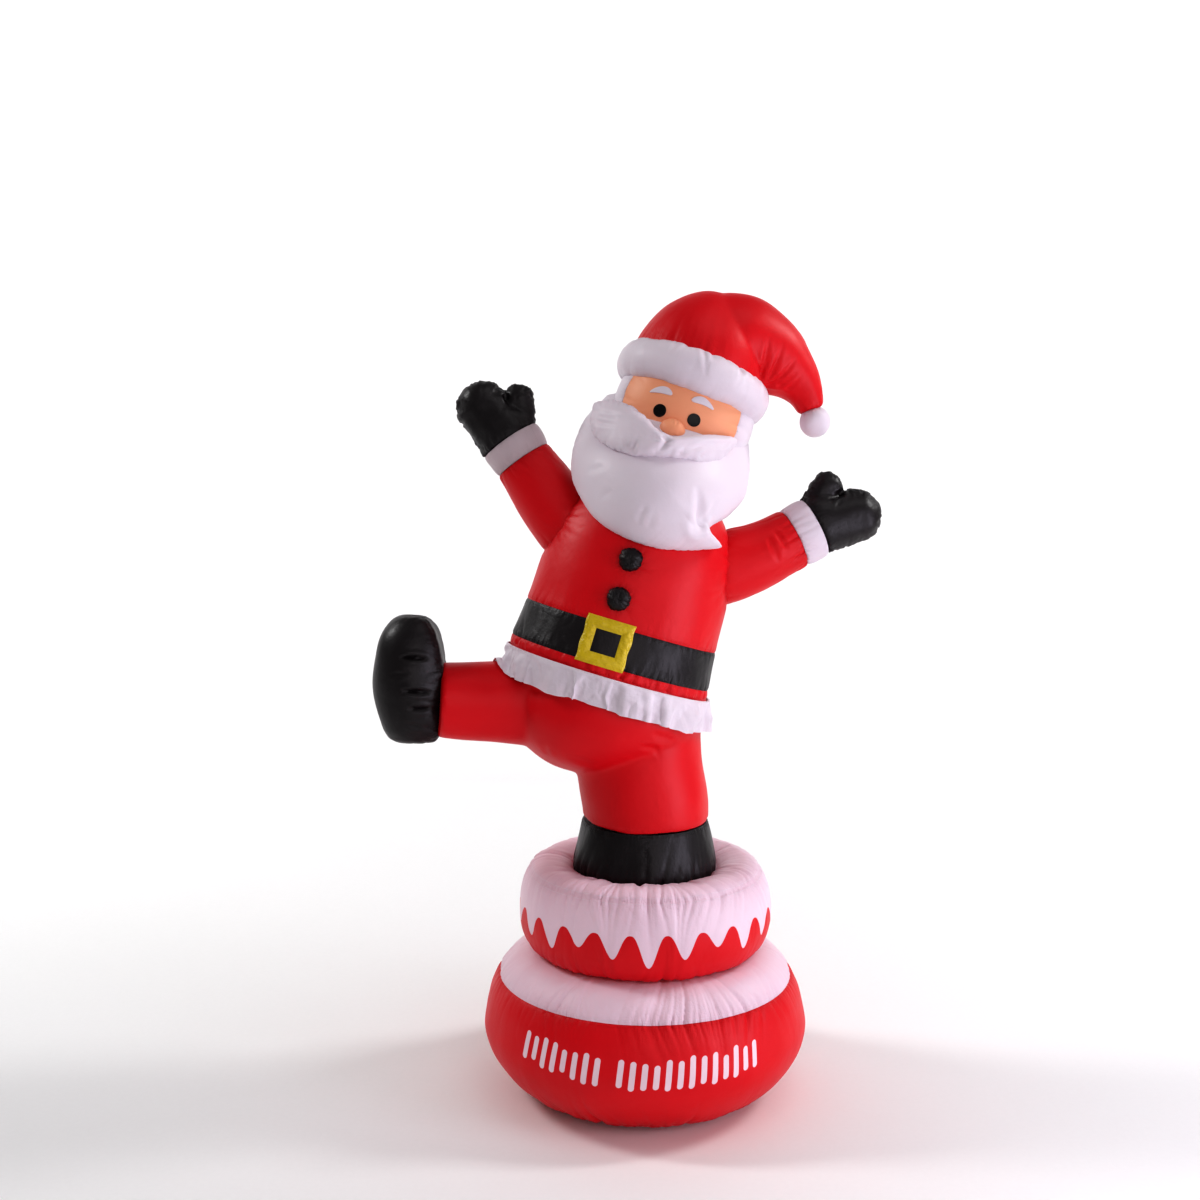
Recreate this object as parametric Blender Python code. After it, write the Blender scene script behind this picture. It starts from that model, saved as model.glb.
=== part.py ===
# Inflatable Santa dancing on a two-tier cake: sewn fabric chambers blown up hard, each a closed solid.
# Metres, +Z up. The figure faces -Y and the origin is the middle of the base's flat underside.
# Left and right are the viewer's, looking along +Y.
import math

import bmesh
import bpy
from mathutils import Vector

# Clearance between two panels' solids along a sewn seam, and sides of a round section
SEAM_GAP = 0.0003
FINE_SIDES = 28
ROUND_SIDES = 20
SMALL_SIDES = 12

# Lower tier of the base
LOWER_RADIUS = 0.368
LOWER_FOOT_RADIUS = 0.245
LOWER_SEAM_RADIUS = 0.334
LOWER_SEAM_HEIGHT = 0.258
LOWER_DOME_RISE = 0.058

# Upper tier, which sits on the flat crown of the lower one
UPPER_RADIUS = 0.287
UPPER_FOOT_RADIUS = 0.225
UPPER_SEAM_RADIUS = 0.264
UPPER_SEAM_RISE = 0.184
UPPER_CUSHION_RISE = 0.018
RECESS_CLEARANCE = 0.004
RECESS_DEPTH = 0.024
DRIP_COUNT = 23
DRIP_COLUMNS = 4
DRIP_START_RISE = 0.117
DRIP_LENGTHS = (0.072, 0.054, 0.037, 0.058, 0.050, 0.041, 0.056, 0.044, 0.062, 0.040, 0.054, 0.047)

# Standing boot and the leg in it
BOOT_SOLE_RADIUS = 0.163
BOOT_TOP_RADIUS = 0.142
BOOT_HEIGHT = 0.118
LEG_RADIUS = 0.143

# Trunk: its axis starts in the middle of the jacket's lower hem
HIP_SIDEWAYS = -0.085
HIP_BACK = 0.030
HIP_RISE = 0.455
TRUNK_LEAN_RIGHT = math.radians(16.5)
TRUNK_LEAN_BACK = math.radians(5.0)
FRONT_TURN = math.radians(-8.0)
TRUNK_FLATNESS = 0.90
HEM_RADIUS = 0.232
WAIST_RADIUS = 0.222
CHEST_RADIUS = 0.216
HEM_WIDTH = 0.020
BELT_WIDTH = 0.086
NECK_RISE = 0.475

# Seat of the trousers, below the hem
SEAT_HALF_WIDTH = 0.226
SEAT_HALF_DEPTH = 0.205
SEAT_HALF_HEIGHT = 0.158
SEAT_DROP = 0.082
HIP_COLLAR_DROP = 0.090

# Kicking leg and its boot
KICK_ROOT_RADIUS = 0.110
KICK_END_RADIUS = 0.084
KICK_END_SIDEWAYS = -0.452
KICK_END_BACK = -0.030
KICK_END_RISE = 0.397
KICK_BOOT_LENGTH = 0.286
KICK_BOOT_HALF_WIDTH = 0.086
KICK_BOOT_HALF_DEPTH = 0.088
KICK_BOOT_RISE = 0.048

# Flounce of loose cloth hanging from the hem
FLOUNCE_DROP = 0.060
FLOUNCE_FLARE = 0.028
FLOUNCE_THICKNESS = 0.006
FLOUNCE_OVERLAP = 0.006

# Arms, as points sideways, back and up from the standing boot's sole
SLEEVE_ROOT_RADIUS = 0.100
WRIST_RADIUS = 0.067
CUFF_LENGTH = 0.054
CUFF_RADIUS = 0.070
MITTEN_RADIUS = 0.060
THUMB_RADIUS = 0.035
LEFT_ARM = ((-0.050, 0.050, 0.665), (-0.145, 0.058, 0.757), (-0.214, 0.070, 0.838), (-0.276, 0.082, 0.928))
RIGHT_ARM = ((0.020, 0.050, 0.660), (0.130, 0.058, 0.675), (0.246, 0.070, 0.707), (0.338, 0.082, 0.752))

# Head and face, in the trunk's own frame
HEAD_RISE = 0.600
HEAD_HALF_WIDTH = 0.160
HEAD_HALF_DEPTH = 0.155
HEAD_HALF_HEIGHT = 0.172
FACE_SEAM_DEPTH = 0.088
EYE_RADIUS = 0.0140
EYE_SPREAD = 0.0385
EYE_DROP = 0.019
BROW_SPREAD = 0.047
BROW_RISE = 0.017
BROW_LENGTH = 0.050
BROW_WIDTH = 0.016
NOSE_RADIUS = 0.027
NOSE_DROP = 0.052
PATCH_THICKNESS = 0.002

# Beard and moustache, in the trunk's own frame
BEARD_FULLNESS = 0.074
MOUSTACHE_FULLNESS = 0.036

# Hat
BRIM_RISE = 0.676
BRIM_ROLL = math.radians(4.0)
BRIM_LEAN_BACK = math.radians(4.0)
BRIM_RADIUS = 0.139
BRIM_HALF_HEIGHT = 0.046
BRIM_HALF_WIDTH = 0.038
CROWN_RADIUS = 0.152
CROWN_HEIGHT = 0.214
TAIL_TIP_RADIUS = 0.030
POMPOM_RADIUS = 0.035

# Jacket front
BUTTON_RADIUS = 0.025
BUTTON_BULGE = 0.020
BUTTON_RISES = (0.165, 0.253)
BUCKLE_WIDTH = 0.108
BUCKLE_HEIGHT = 0.104
BUCKLE_BORDER = 0.026

RED = (0.62, 0.004, 0.018, 1.0)
WHITE = (0.80, 0.74, 0.78, 1.0)
BLACK = (0.012, 0.010, 0.012, 1.0)
SKIN = (0.80, 0.33, 0.15, 1.0)
YELLOW = (0.72, 0.50, 0.02, 1.0)


def clear_scene():
    for thing in list(bpy.data.objects):
        bpy.data.objects.remove(thing, do_unlink=True)


def fabric(name, colour, roughness):
    material = bpy.data.materials.get(name) or bpy.data.materials.new(name)
    material.use_nodes = True
    shader = material.node_tree.nodes["Principled BSDF"]
    shader.inputs["Base Color"].default_value = colour
    shader.inputs["Roughness"].default_value = roughness
    shader.inputs["Metallic"].default_value = 0.0
    material.diffuse_color = colour
    return material


def red_fabric():
    return fabric("red_fabric", RED, 0.42)


def white_fabric():
    return fabric("white_fabric", WHITE, 0.45)


def black_fabric():
    return fabric("black_fabric", BLACK, 0.38)


def skin_fabric():
    return fabric("skin_fabric", SKIN, 0.50)


def yellow_fabric():
    return fabric("yellow_fabric", YELLOW, 0.36)


def sole_height():
    return LOWER_SEAM_HEIGHT + LOWER_DOME_RISE + UPPER_SEAM_RISE + UPPER_CUSHION_RISE - RECESS_DEPTH


def guide(name, parent, location, rotation=(0, 0, 0)):
    # An empty that places everything parented to it.
    thing = bpy.data.objects.new(name, None)
    bpy.context.scene.collection.objects.link(thing)
    thing.parent = parent
    thing.location = location
    thing.rotation_euler = rotation
    return thing


def add_object(name, mesh, parent, material=None):
    thing = bpy.data.objects.new(name, mesh)
    bpy.context.scene.collection.objects.link(thing)
    thing.parent = parent
    if material:
        mesh.materials.append(material)
    mesh.shade_smooth()
    mesh.set_sharp_from_angle(angle=math.radians(40))
    return thing


def finished_mesh(name, bm):
    # Triangles, so that a piece and the room made for it bend along the same edges.
    bmesh.ops.remove_doubles(bm, verts=bm.verts, dist=1e-6)
    bmesh.ops.triangulate(bm, faces=bm.faces)
    bmesh.ops.recalc_face_normals(bm, faces=bm.faces)
    mesh = bpy.data.meshes.new(name)
    bm.to_mesh(mesh)
    bm.free()
    return mesh


def smooth_curve(rows, t):
    # A Catmull-Rom curve through rows of numbers, the first of which is the station t.
    rows = [Vector(row) for row in rows]
    t = min(max(t, rows[0][0]), rows[-1][0])
    last = len(rows) - 2
    i = next(k for k in range(last + 1) if t <= rows[k + 1][0] or k == last)
    before, start, end, after = rows[max(i - 1, 0)], rows[i], rows[i + 1], rows[min(i + 2, last + 1)]
    span = end[0] - start[0]
    u = (t - start[0]) / span
    slope_in = (end - before) * (span / (end[0] - before[0]))
    slope_out = (after - start) * (span / (after[0] - start[0]))
    value = start * (2 * u ** 3 - 3 * u ** 2 + 1) + slope_in * (u ** 3 - 2 * u ** 2 + u)
    value += end * (3 * u ** 2 - 2 * u ** 3) + slope_out * (u ** 3 - u ** 2)
    return list(value)[1:]


def even_steps(start, end, count):
    return [start + (end - start) * i / (count - 1) for i in range(count)]


def circle(sides, start=0.0):
    angles = [start + 2 * math.pi * i / sides for i in range(sides)]
    return [(math.cos(a), math.sin(a)) for a in angles]


def loft(name, rings, parent, material=None):
    # A closed solid through rings of equal count. One point is a pole, and an open end gets a flat cap.
    bm = bmesh.new()
    rows = [[bm.verts.new(point) for point in ring] for ring in rings]
    for low, high in zip(rows, rows[1:]):
        sides = max(len(low), len(high))
        for i in range(sides):
            j = (i + 1) % sides
            corners = (low[i % len(low)], low[j % len(low)], high[j % len(high)], high[i % len(high)])
            bm.faces.new(list(dict.fromkeys(corners)))
    for ring in (rows[0], rows[-1]):
        if len(ring) > 1:
            bm.faces.new(ring)
    return add_object(name, finished_mesh(name, bm), parent, material)


def hoop(name, rings, parent, material=None):
    # A closed band: the last ring joins the first.
    bm = bmesh.new()
    rows = [[bm.verts.new(point) for point in ring] for ring in rings]
    for low, high in zip(rows, rows[1:] + rows[:1]):
        for i in range(len(low)):
            j = (i + 1) % len(low)
            bm.faces.new((low[i], low[j], high[j], high[i]))
    return add_object(name, finished_mesh(name, bm), parent, material)


def turned(name, profile, sides, parent, material=None):
    # Turned about Z from pairs of radius and height, where a radius of 0 is a pole.
    rings = []
    for radius, height in profile:
        ring = [(radius * c, radius * s, height) for c, s in circle(sides)]
        rings.append(ring if radius > 0 else ring[:1])
    return loft(name, rings, parent, material)


def half_round(station):
    # Stations that close a tube with a rounded end.
    point, ahead, radius = station
    angles = [math.radians(a) for a in (30, 60, 90)]
    reaches = [point + ahead * (radius * 0.9 * math.sin(a)) for a in angles]
    return [(reach, ahead, radius * math.cos(a) if a < math.pi / 2 else 0) for reach, a in zip(reaches, angles)]


def tube(name, path, radii, sides, parent, material=None, round_end=False):
    # A tube of changing radius along a smooth path, with a flat start and a flat or rounded end.
    aheads = [path[min(i + 1, len(path) - 1)] - path[max(i - 1, 0)] for i in range(len(path))]
    stations = [(point, ahead.normalized(), radius) for point, ahead, radius in zip(path, aheads, radii)]
    ending = half_round(stations[-1]) if round_end else []
    rings = []
    normal = stations[0][1].cross(Vector((0, 1, 0)))
    for point, ahead, radius in stations + ending:
        normal = (normal - ahead * normal.dot(ahead)).normalized()
        side = ahead.cross(normal)
        ring = [point + (normal * c + side * s) * radius for c, s in circle(sides)]
        rings.append(ring if radius > 0 else [point])
    return loft(name, rings, parent, material)


def ellipsoid(name, centre, half, sides, rows, parent, material=None):
    # Its poles lie at the front and the back.
    rings = []
    for angle in even_steps(-math.pi / 2, math.pi / 2, rows):
        size, depth = math.cos(angle), math.sin(angle) * half[1]
        ring = [Vector(centre) + Vector((half[0] * size * c, depth, half[2] * size * s)) for c, s in circle(sides)]
        rings.append(ring if size > 1e-6 else [Vector(centre) + Vector((0, depth, 0))])
    return loft(name, rings, parent, material)


def pillow(name, centre, outline, middle_depth, fullness, rings, columns, parent):
    # Two panels sewn together round an outline and blown up: full in the middle, thin at the seam.
    # The centre, the outline and the middle layer's depth are shares of the head's rise.
    rows = [(i, x, z) for i, (x, z) in enumerate(outline + outline[:1])]
    edge = [Vector(smooth_curve(rows, len(outline) * i / columns)) for i in range(columns)]
    hub = Vector(centre)
    shares = [math.sin(math.pi / 2 * i / rings) for i in range(rings + 1)]
    stack = []
    for share, side in [(s, -1) for s in shares] + [(s, 1) for s in shares[-2::-1]]:
        full = side * fullness * math.sqrt(max(0.0, 1 - share * share))
        points = [hub + (p - hub) * share for p in edge]
        ring = [Vector((p.x, middle_depth(p.x, p.y), p.y)) * HEAD_RISE + Vector((0, full, 0)) for p in points]
        stack.append(ring if share > 0 else ring[:1])
    return loft(name, stack, parent, white_fabric())


def cutter(thing):
    thing.hide_render = True
    thing.display_type = "WIRE"
    return thing


def room_for(thing):
    # A piece's own form, fuller all round by the seam's clearance, which makes room in its neighbours.
    mesh = thing.data.copy()
    bm = bmesh.new()
    bm.from_mesh(mesh)
    bm.normal_update()
    reaches = [vert.normal * min(vert.calc_shell_factor(), 4) * SEAM_GAP * 1.3 for vert in bm.verts]
    for vert, reach in zip(bm.verts, reaches):
        vert.co += reach
    bm.to_mesh(mesh)
    bm.free()
    copy = add_object(thing.name + "_room", mesh, thing.parent)
    copy.location = thing.location
    copy.rotation_euler = thing.rotation_euler
    return cutter(copy)


def boolean(thing, others, operation):
    for other in others:
        modifier = thing.modifiers.new(other.name, "BOOLEAN")
        modifier.operation = operation
        modifier.solver = "EXACT"
        modifier.object = cutter(other)
    return thing


def join(thing, *others):
    return boolean(thing, others, "UNION")


def trim(thing, *rooms):
    return boolean(thing, rooms, "DIFFERENCE")


def lower_tier():
    bulge, tuck = LOWER_RADIUS - LOWER_FOOT_RADIUS, LOWER_RADIUS - LOWER_SEAM_RADIUS
    height = LOWER_SEAM_HEIGHT
    foot_steps = ((0, 0), (0.30, 0.045), (0.58, 0.15), (0.84, 0.32))
    side_steps = ((0, 0.54), (0.22, 0.74), (0.58, 0.90), (1.0, 1.0))
    foot = [(LOWER_FOOT_RADIUS + bulge * a, height * b) for a, b in foot_steps]
    side = [(LOWER_RADIUS - tuck * a, height * b) for a, b in side_steps]
    return turned("lower_tier", [(0, 0)] + foot + side + [(0, height)], FINE_SIDES, None, red_fabric())


def lower_tier_top():
    base = LOWER_SEAM_HEIGHT + SEAM_GAP
    rise = LOWER_DOME_RISE - 2 * SEAM_GAP
    shoulder = LOWER_SEAM_RADIUS - UPPER_FOOT_RADIUS
    steps = ((0, 0), (0.15, 0.42), (0.38, 0.78), (0.68, 0.97), (1.0, 1.0))
    dome = [(LOWER_SEAM_RADIUS - shoulder * a, base + rise * b) for a, b in steps]
    return turned("lower_tier_top", [(0, base)] + dome + [(0, base + rise)], FINE_SIDES, None, white_fabric())


def upper_side(rise):
    # Radius of the upper tier's side wall at a height above its foot.
    top, bulge, tuck = UPPER_SEAM_RISE, UPPER_RADIUS - UPPER_FOOT_RADIUS, UPPER_RADIUS - UPPER_SEAM_RADIUS
    rows = ((0, UPPER_FOOT_RADIUS), (0.05 * top, UPPER_FOOT_RADIUS + 0.5 * bulge),
            (0.22 * top, UPPER_FOOT_RADIUS + 0.86 * bulge), (0.48 * top, UPPER_RADIUS),
            (0.78 * top, UPPER_RADIUS - 0.28 * tuck), (top, UPPER_SEAM_RADIUS))
    return smooth_curve(rows, rise)[0]


def drip_rise(turn):
    # Height of the icing's edge above the tier's foot at a share of the way round: rounded drips,
    # whose lengths mirror each other on the left and the right of the longest one in front.
    drips = turn * DRIP_COUNT
    drip = math.floor(drips)
    length = DRIP_LENGTHS[min(drip, DRIP_COUNT - drip) % len(DRIP_LENGTHS)]
    return DRIP_START_RISE - length * math.sin(math.pi * (drips - drip)) ** 1.5


def tier_ring(radius_at, rise_at, base):
    # A ring of the upper tier whose height may change round it. The first drip is in front.
    sides = DRIP_COUNT * DRIP_COLUMNS
    rises = [rise_at(i / sides) for i in range(sides)]
    start = -math.pi / 2 - math.pi / DRIP_COUNT
    return [(radius_at(r) * c, radius_at(r) * s, base + r) for r, (c, s) in zip(rises, circle(sides, start))]


def upper_tier():
    foot = LOWER_SEAM_HEIGHT + LOWER_DOME_RISE
    lowest = DRIP_START_RISE - max(DRIP_LENGTHS)
    rings = [[(0, 0, foot)]]
    rings += [tier_ring(upper_side, lambda turn: lowest * share, foot) for share in (0.0, 0.35)]
    rings.append(tier_ring(upper_side, drip_rise, foot - SEAM_GAP))
    rings.append([(0, 0, foot + lowest - SEAM_GAP)])
    return loft("upper_tier", rings, None, red_fabric())


def upper_tier_icing():
    foot = LOWER_SEAM_HEIGHT + LOWER_DOME_RISE
    lowest = DRIP_START_RISE - max(DRIP_LENGTHS)
    recess = BOOT_SOLE_RADIUS + RECESS_CLEARANCE
    rim = UPPER_SEAM_RADIUS - recess
    floor = sole_height() - SEAM_GAP
    rings = [[(0, 0, foot + lowest + SEAM_GAP)], tier_ring(upper_side, drip_rise, foot + SEAM_GAP)]
    rings.append(tier_ring(upper_side, lambda turn: UPPER_SEAM_RISE, foot))
    for out, up in ((0.72, 0.85), (0.25, 0.85)):
        height = foot + UPPER_SEAM_RISE + UPPER_CUSHION_RISE * up
        rings.append(tier_ring(lambda rise: recess + rim * out, lambda turn: 0, height))
    rings.append(tier_ring(lambda rise: recess, lambda turn: 0, floor))
    rings.append([(0, 0, floor)])
    return loft("upper_tier_icing", rings, None, white_fabric())


def standing_boot(figure):
    flare = BOOT_SOLE_RADIUS - BOOT_TOP_RADIUS
    steps = ((0.65, 0.0), (1.0, 0.12), (0.86, 0.35), (0.42, 0.70), (0.0, 1.0))
    wall = [(BOOT_TOP_RADIUS + flare * a, (BOOT_HEIGHT - SEAM_GAP) * b) for a, b in steps]
    return turned("standing_boot", [(0, 0)] + wall + [(0, wall[-1][1])], ROUND_SIDES, figure, black_fabric())


def trouser_forms(figure, trunk):
    # The seat, the collar up to the jacket's hem, the standing leg and the kicking leg.
    hips = Vector((HIP_SIDEWAYS, HIP_BACK, HIP_RISE))
    half = (SEAT_HALF_WIDTH, SEAT_HALF_DEPTH, SEAT_HALF_HEIGHT)
    seat = ellipsoid("trousers", hips - Vector((0, 0, SEAT_DROP)), half, ROUND_SIDES, 11, figure, red_fabric())

    drop = HIP_COLLAR_DROP
    rings = [trunk_ring(rise, trunk_radius(0) * size, ROUND_SIDES)
             for rise, size in ((0.2 * drop, 1.0), (-0.35 * drop, 0.98), (-0.7 * drop, 0.92), (-drop, 0.80))]
    collar = loft("hip_collar_form", rings, trunk)

    top = HIP_RISE - SEAT_DROP
    rows = ((0, 0, 0, BOOT_HEIGHT), (1, 0, 0, BOOT_HEIGHT + 0.1 * top),
            (2, 0.17 * HIP_SIDEWAYS, 0.3 * HIP_BACK, 0.66 * top), (3, 0.25 * HIP_SIDEWAYS, 0.7 * HIP_BACK, top))
    path = [Vector(smooth_curve(rows, t)) for t in [0] + even_steps(1, 3, 4)]
    leg = tube("standing_leg_form", path, [LEG_RADIUS] * len(path), ROUND_SIDES, figure)

    root = hips - Vector((0, 0, SEAT_DROP))
    end = Vector((KICK_END_SIDEWAYS, KICK_END_BACK, KICK_END_RISE))
    shares = (0.0, 0.4, 0.7, 1.0)
    radii = [KICK_ROOT_RADIUS + (KICK_END_RADIUS - KICK_ROOT_RADIUS) * share for share in shares]
    kick = tube("kicking_leg_form", [root.lerp(end, share) for share in shares], radii, ROUND_SIDES, figure)
    return seat, collar, leg, kick


def kicking_boot(figure):
    # Stacked ovals from heel to toe, flat on the side of the leg and full on the side of the sole.
    width, depth, half = KICK_BOOT_HALF_WIDTH, KICK_BOOT_HALF_DEPTH, KICK_BOOT_LENGTH / 2
    middle = Vector((KICK_END_SIDEWAYS - 0.82 * width, KICK_END_BACK, KICK_END_RISE + KICK_BOOT_RISE))
    rings = [[middle - Vector((0, 0, half))]]
    for along, size in ((-0.98, 0.45), (-0.86, 0.70), (-0.62, 0.86), (-0.30, 0.97), (0.05, 1.0),
                        (0.38, 0.94), (0.66, 0.82), (0.86, 0.62), (0.98, 0.34)):
        outline = [(min(c, 0.86), s) for c, s in circle(ROUND_SIDES)]
        rings.append([middle + Vector((c * size * width, s * size * depth, along * half)) for c, s in outline])
    rings.append([middle + Vector((0, 0, half))])
    return loft("kicking_boot", rings, figure, black_fabric())


def trunk_radius(rise):
    # Half the trunk's width at a height up its axis, from the hem to the neck.
    waist = HEM_WIDTH + BELT_WIDTH
    chest = NECK_RISE - waist
    rows = ((0.0, HEM_RADIUS), (HEM_WIDTH, HEM_RADIUS - 0.001), (waist, WAIST_RADIUS),
            (waist + 0.31 * chest, CHEST_RADIUS), (waist + 0.56 * chest, CHEST_RADIUS * 0.93),
            (waist + 0.76 * chest, CHEST_RADIUS * 0.75), (waist + 0.92 * chest, CHEST_RADIUS * 0.44),
            (NECK_RISE, CHEST_RADIUS * 0.12))
    return smooth_curve(rows, rise)[0]


def trunk_ring(rise, radius, sides=FINE_SIDES):
    return [(radius * c, radius * TRUNK_FLATNESS * s, rise) for c, s in circle(sides)]


def trunk_slice(name, start, end, count, trunk, material, top=()):
    rings = [trunk_ring(rise, trunk_radius(rise)) for rise in even_steps(start, end, count)]
    return loft(name, rings + list(top), trunk, material)


def jacket_hem(trunk):
    return trunk_slice("jacket_hem", SEAM_GAP, HEM_WIDTH - SEAM_GAP, 2, trunk, red_fabric())


def belt(trunk):
    return trunk_slice("belt", HEM_WIDTH, HEM_WIDTH + BELT_WIDTH - SEAM_GAP, 3, trunk, black_fabric())


def jacket(trunk):
    neck = [(0, 0, NECK_RISE + 0.004)]
    return trunk_slice("jacket", HEM_WIDTH + BELT_WIDTH, NECK_RISE, 9, trunk, red_fabric(), [neck])


def flounce(trunk):
    # A loose strip of cloth, sewn along the hem and flaring over the hips.
    inner, outer = [], []
    for share in (0.0, 0.45, 1.0):
        rise = FLOUNCE_OVERLAP - (FLOUNCE_DROP + FLOUNCE_OVERLAP) * share
        reach = FLOUNCE_FLARE * share + 2 * SEAM_GAP
        for rings, out in ((inner, reach), (outer, reach + FLOUNCE_THICKNESS)):
            across, along = HEM_RADIUS + out, HEM_RADIUS * TRUNK_FLATNESS + out
            rings.append([(across * c, along * s, rise) for c, s in circle(FINE_SIDES)])
    return hoop("flounce", inner + outer[::-1], trunk, white_fabric())


def trunk_point(sideways, rise, out):
    # A point on the trunk's front, or off it, and the way the cloth faces there.
    a, b = trunk_radius(rise), trunk_radius(rise) * TRUNK_FLATNESS
    angle = FRONT_TURN + sideways / a
    facing = Vector((math.sin(angle) / a, -math.cos(angle) / b, 0)).normalized()
    return Vector((a * math.sin(angle), -b * math.cos(angle), rise)) + facing * out, facing


def button(name, rise, trunk):
    # A puffed disc, let a little into the jacket.
    place, facing = trunk_point(0, rise, 0)
    steps = ((0.85, -0.4), (1.0, 0.0), (0.97, 0.45), (0.72, 0.85))
    profile = [(0, -0.4 * BUTTON_BULGE)] + [(BUTTON_RADIUS * a, BUTTON_BULGE * b) for a, b in steps]
    thing = turned(name, profile + [(0, BUTTON_BULGE)], SMALL_SIDES, trunk, black_fabric())
    thing.location = place
    thing.rotation_euler = facing.to_track_quat("Z", "Y").to_euler()
    return thing


def lines_with_window(size):
    # Where the buckle's rows or columns of cells meet: its border, its window and its border.
    hole = size / 2 - BUCKLE_BORDER
    return [-size / 2, -hole, 0, hole, size / 2]


def buckle(trunk):
    # A square patch that follows the belt's curve, with a window that shows the belt.
    middle = HEM_WIDTH + BELT_WIDTH / 2 + 0.004
    columns, rows = lines_with_window(BUCKLE_WIDTH), lines_with_window(BUCKLE_HEIGHT)
    window = (1, 2)
    cells = {(i, j) for i in range(4) for j in range(4) if i not in window or j not in window}
    bm = bmesh.new()
    low, high = [[[bm.verts.new(trunk_point(x, middle + z, out)[0]) for x in columns] for z in rows]
                 for out in (-PATCH_THICKNESS, 1.5 * PATCH_THICKNESS)]
    for i, j in cells:
        corners = ((i, j), (i, j + 1), (i + 1, j + 1), (i + 1, j))
        for sheet in (low, high):
            bm.faces.new([sheet[r][c] for r, c in corners])
        beside = ((i - 1, j), (i, j + 1), (i + 1, j), (i, j - 1))
        for (r0, c0), (r1, c1), neighbour in zip(corners, corners[1:] + corners[:1], beside):
            if neighbour not in cells:
                bm.faces.new((low[r0][c0], low[r1][c1], high[r1][c1], high[r0][c0]))
    return add_object("buckle", finished_mesh("buckle", bm), trunk, yellow_fabric())


def arm_path(points):
    rows = [(i, *point) for i, point in enumerate(points)]
    return [Vector(smooth_curve(rows, t)) for t in even_steps(0, len(points) - 1, 7)]


def sleeve(name, points, figure):
    path = arm_path(points)
    radii = even_steps(SLEEVE_ROOT_RADIUS, WRIST_RADIUS, len(path))
    return tube(name, path, radii, ROUND_SIDES, figure, red_fabric())


def wrist(points):
    path = arm_path(points)
    return path[-1], (path[-1] - path[-2]).normalized()


def cuff(name, points, figure):
    start, ahead = wrist(points)
    path = [start + ahead * (SEAM_GAP + (CUFF_LENGTH - SEAM_GAP) * share) for share in (0, 0.5, 1.0)]
    radii = [WRIST_RADIUS, (WRIST_RADIUS + CUFF_RADIUS) / 2, CUFF_RADIUS]
    return tube(name, path, radii, ROUND_SIDES, figure, white_fabric())


def mitten(name, points, thumb_side, bend, figure):
    # A full palm that bends away from a stub of a thumb, in shares of the palm's own radius.
    start, ahead = wrist(points)
    side = ahead.cross(Vector((0, 1, 0))).normalized() * thumb_side
    base = start + ahead * (CUFF_LENGTH + SEAM_GAP)
    size = MITTEN_RADIUS
    palm = [base + (ahead * a - side * b) * size for a, b in ((0, 0), (0.35, 0), (1.05, 0.5 * bend), (1.70, bend))]
    hand = tube(name, palm, [CUFF_RADIUS, CUFF_RADIUS, 1.08 * size, size], ROUND_SIDES, figure, black_fabric(),
                round_end=True)
    thumb = [base + (ahead * a + side * b) * size for a, b in ((0.34, 0.68), (0.76, 0.98), (1.16, 1.17))]
    radii = [0.90 * THUMB_RADIUS, 0.97 * THUMB_RADIUS, THUMB_RADIUS]
    return join(hand, tube(name + "_thumb_form", thumb, radii, SMALL_SIDES, figure, round_end=True))


def head_rings(start, end, rows, setback=0.0):
    # The head's oval sections between two angles round its curve, from the front to the back.
    rings = []
    for angle in even_steps(start, end, rows):
        size, depth = math.cos(angle), HEAD_HALF_DEPTH * math.sin(angle) + setback
        ring = [(HEAD_HALF_WIDTH * size * c, depth, HEAD_HALF_HEIGHT * size * s) for c, s in circle(ROUND_SIDES)]
        rings.append(ring if size > 1e-6 else [(0, depth, 0)])
    return rings


def face_point(x, z, out):
    # A point on the head's front, or off it.
    y = -HEAD_HALF_DEPTH * math.sqrt(1 - (x / HEAD_HALF_WIDTH) ** 2 - (z / HEAD_HALF_HEIGHT) ** 2)
    facing = Vector((x / HEAD_HALF_WIDTH ** 2, y / HEAD_HALF_DEPTH ** 2, z / HEAD_HALF_HEIGHT ** 2))
    return Vector((x, y, z)) + facing.normalized() * out


def face_patch(name, centre, outline, frame, material):
    # A thin patch over the face, let a little into it.
    rings = []
    for share, out in ((0, -1.0), (1.0, -1.0), (1.0, 0.7), (0.55, 1.0), (0, 1.05)):
        ring = [face_point(centre[0] + x * share, centre[1] + z * share, out * PATCH_THICKNESS) for x, z in outline]
        rings.append(ring if share else ring[:1])
    return loft(name, rings, frame, material)


def eye(name, side, frame):
    outline = [(EYE_RADIUS * c, EYE_RADIUS * s) for c, s in circle(SMALL_SIDES)]
    return face_patch(name, (side * EYE_SPREAD, -EYE_DROP), outline, frame, black_fabric())


def brow(name, side, frame):
    # A leaf that arches up and comes down towards its outer end.
    outline = []
    for c, s in circle(SMALL_SIDES):
        arch = 0.45 * BROW_WIDTH * (1 - c * c) - 0.2 * BROW_WIDTH * (c + 1)
        outline.append((side * c * BROW_LENGTH / 2, arch + s * BROW_WIDTH / 2 * (1 - 0.25 * c)))
    return face_patch(name, (side * BROW_SPREAD, BROW_RISE + 0.3 * BROW_WIDTH), outline, frame, white_fabric())


def nose(frame):
    centre = face_point(0, -NOSE_DROP, 0.25 * NOSE_RADIUS)
    half = (1.08 * NOSE_RADIUS, NOSE_RADIUS, 0.95 * NOSE_RADIUS)
    return ellipsoid("nose", centre, half, SMALL_SIDES, 7, frame, skin_fabric())


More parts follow.
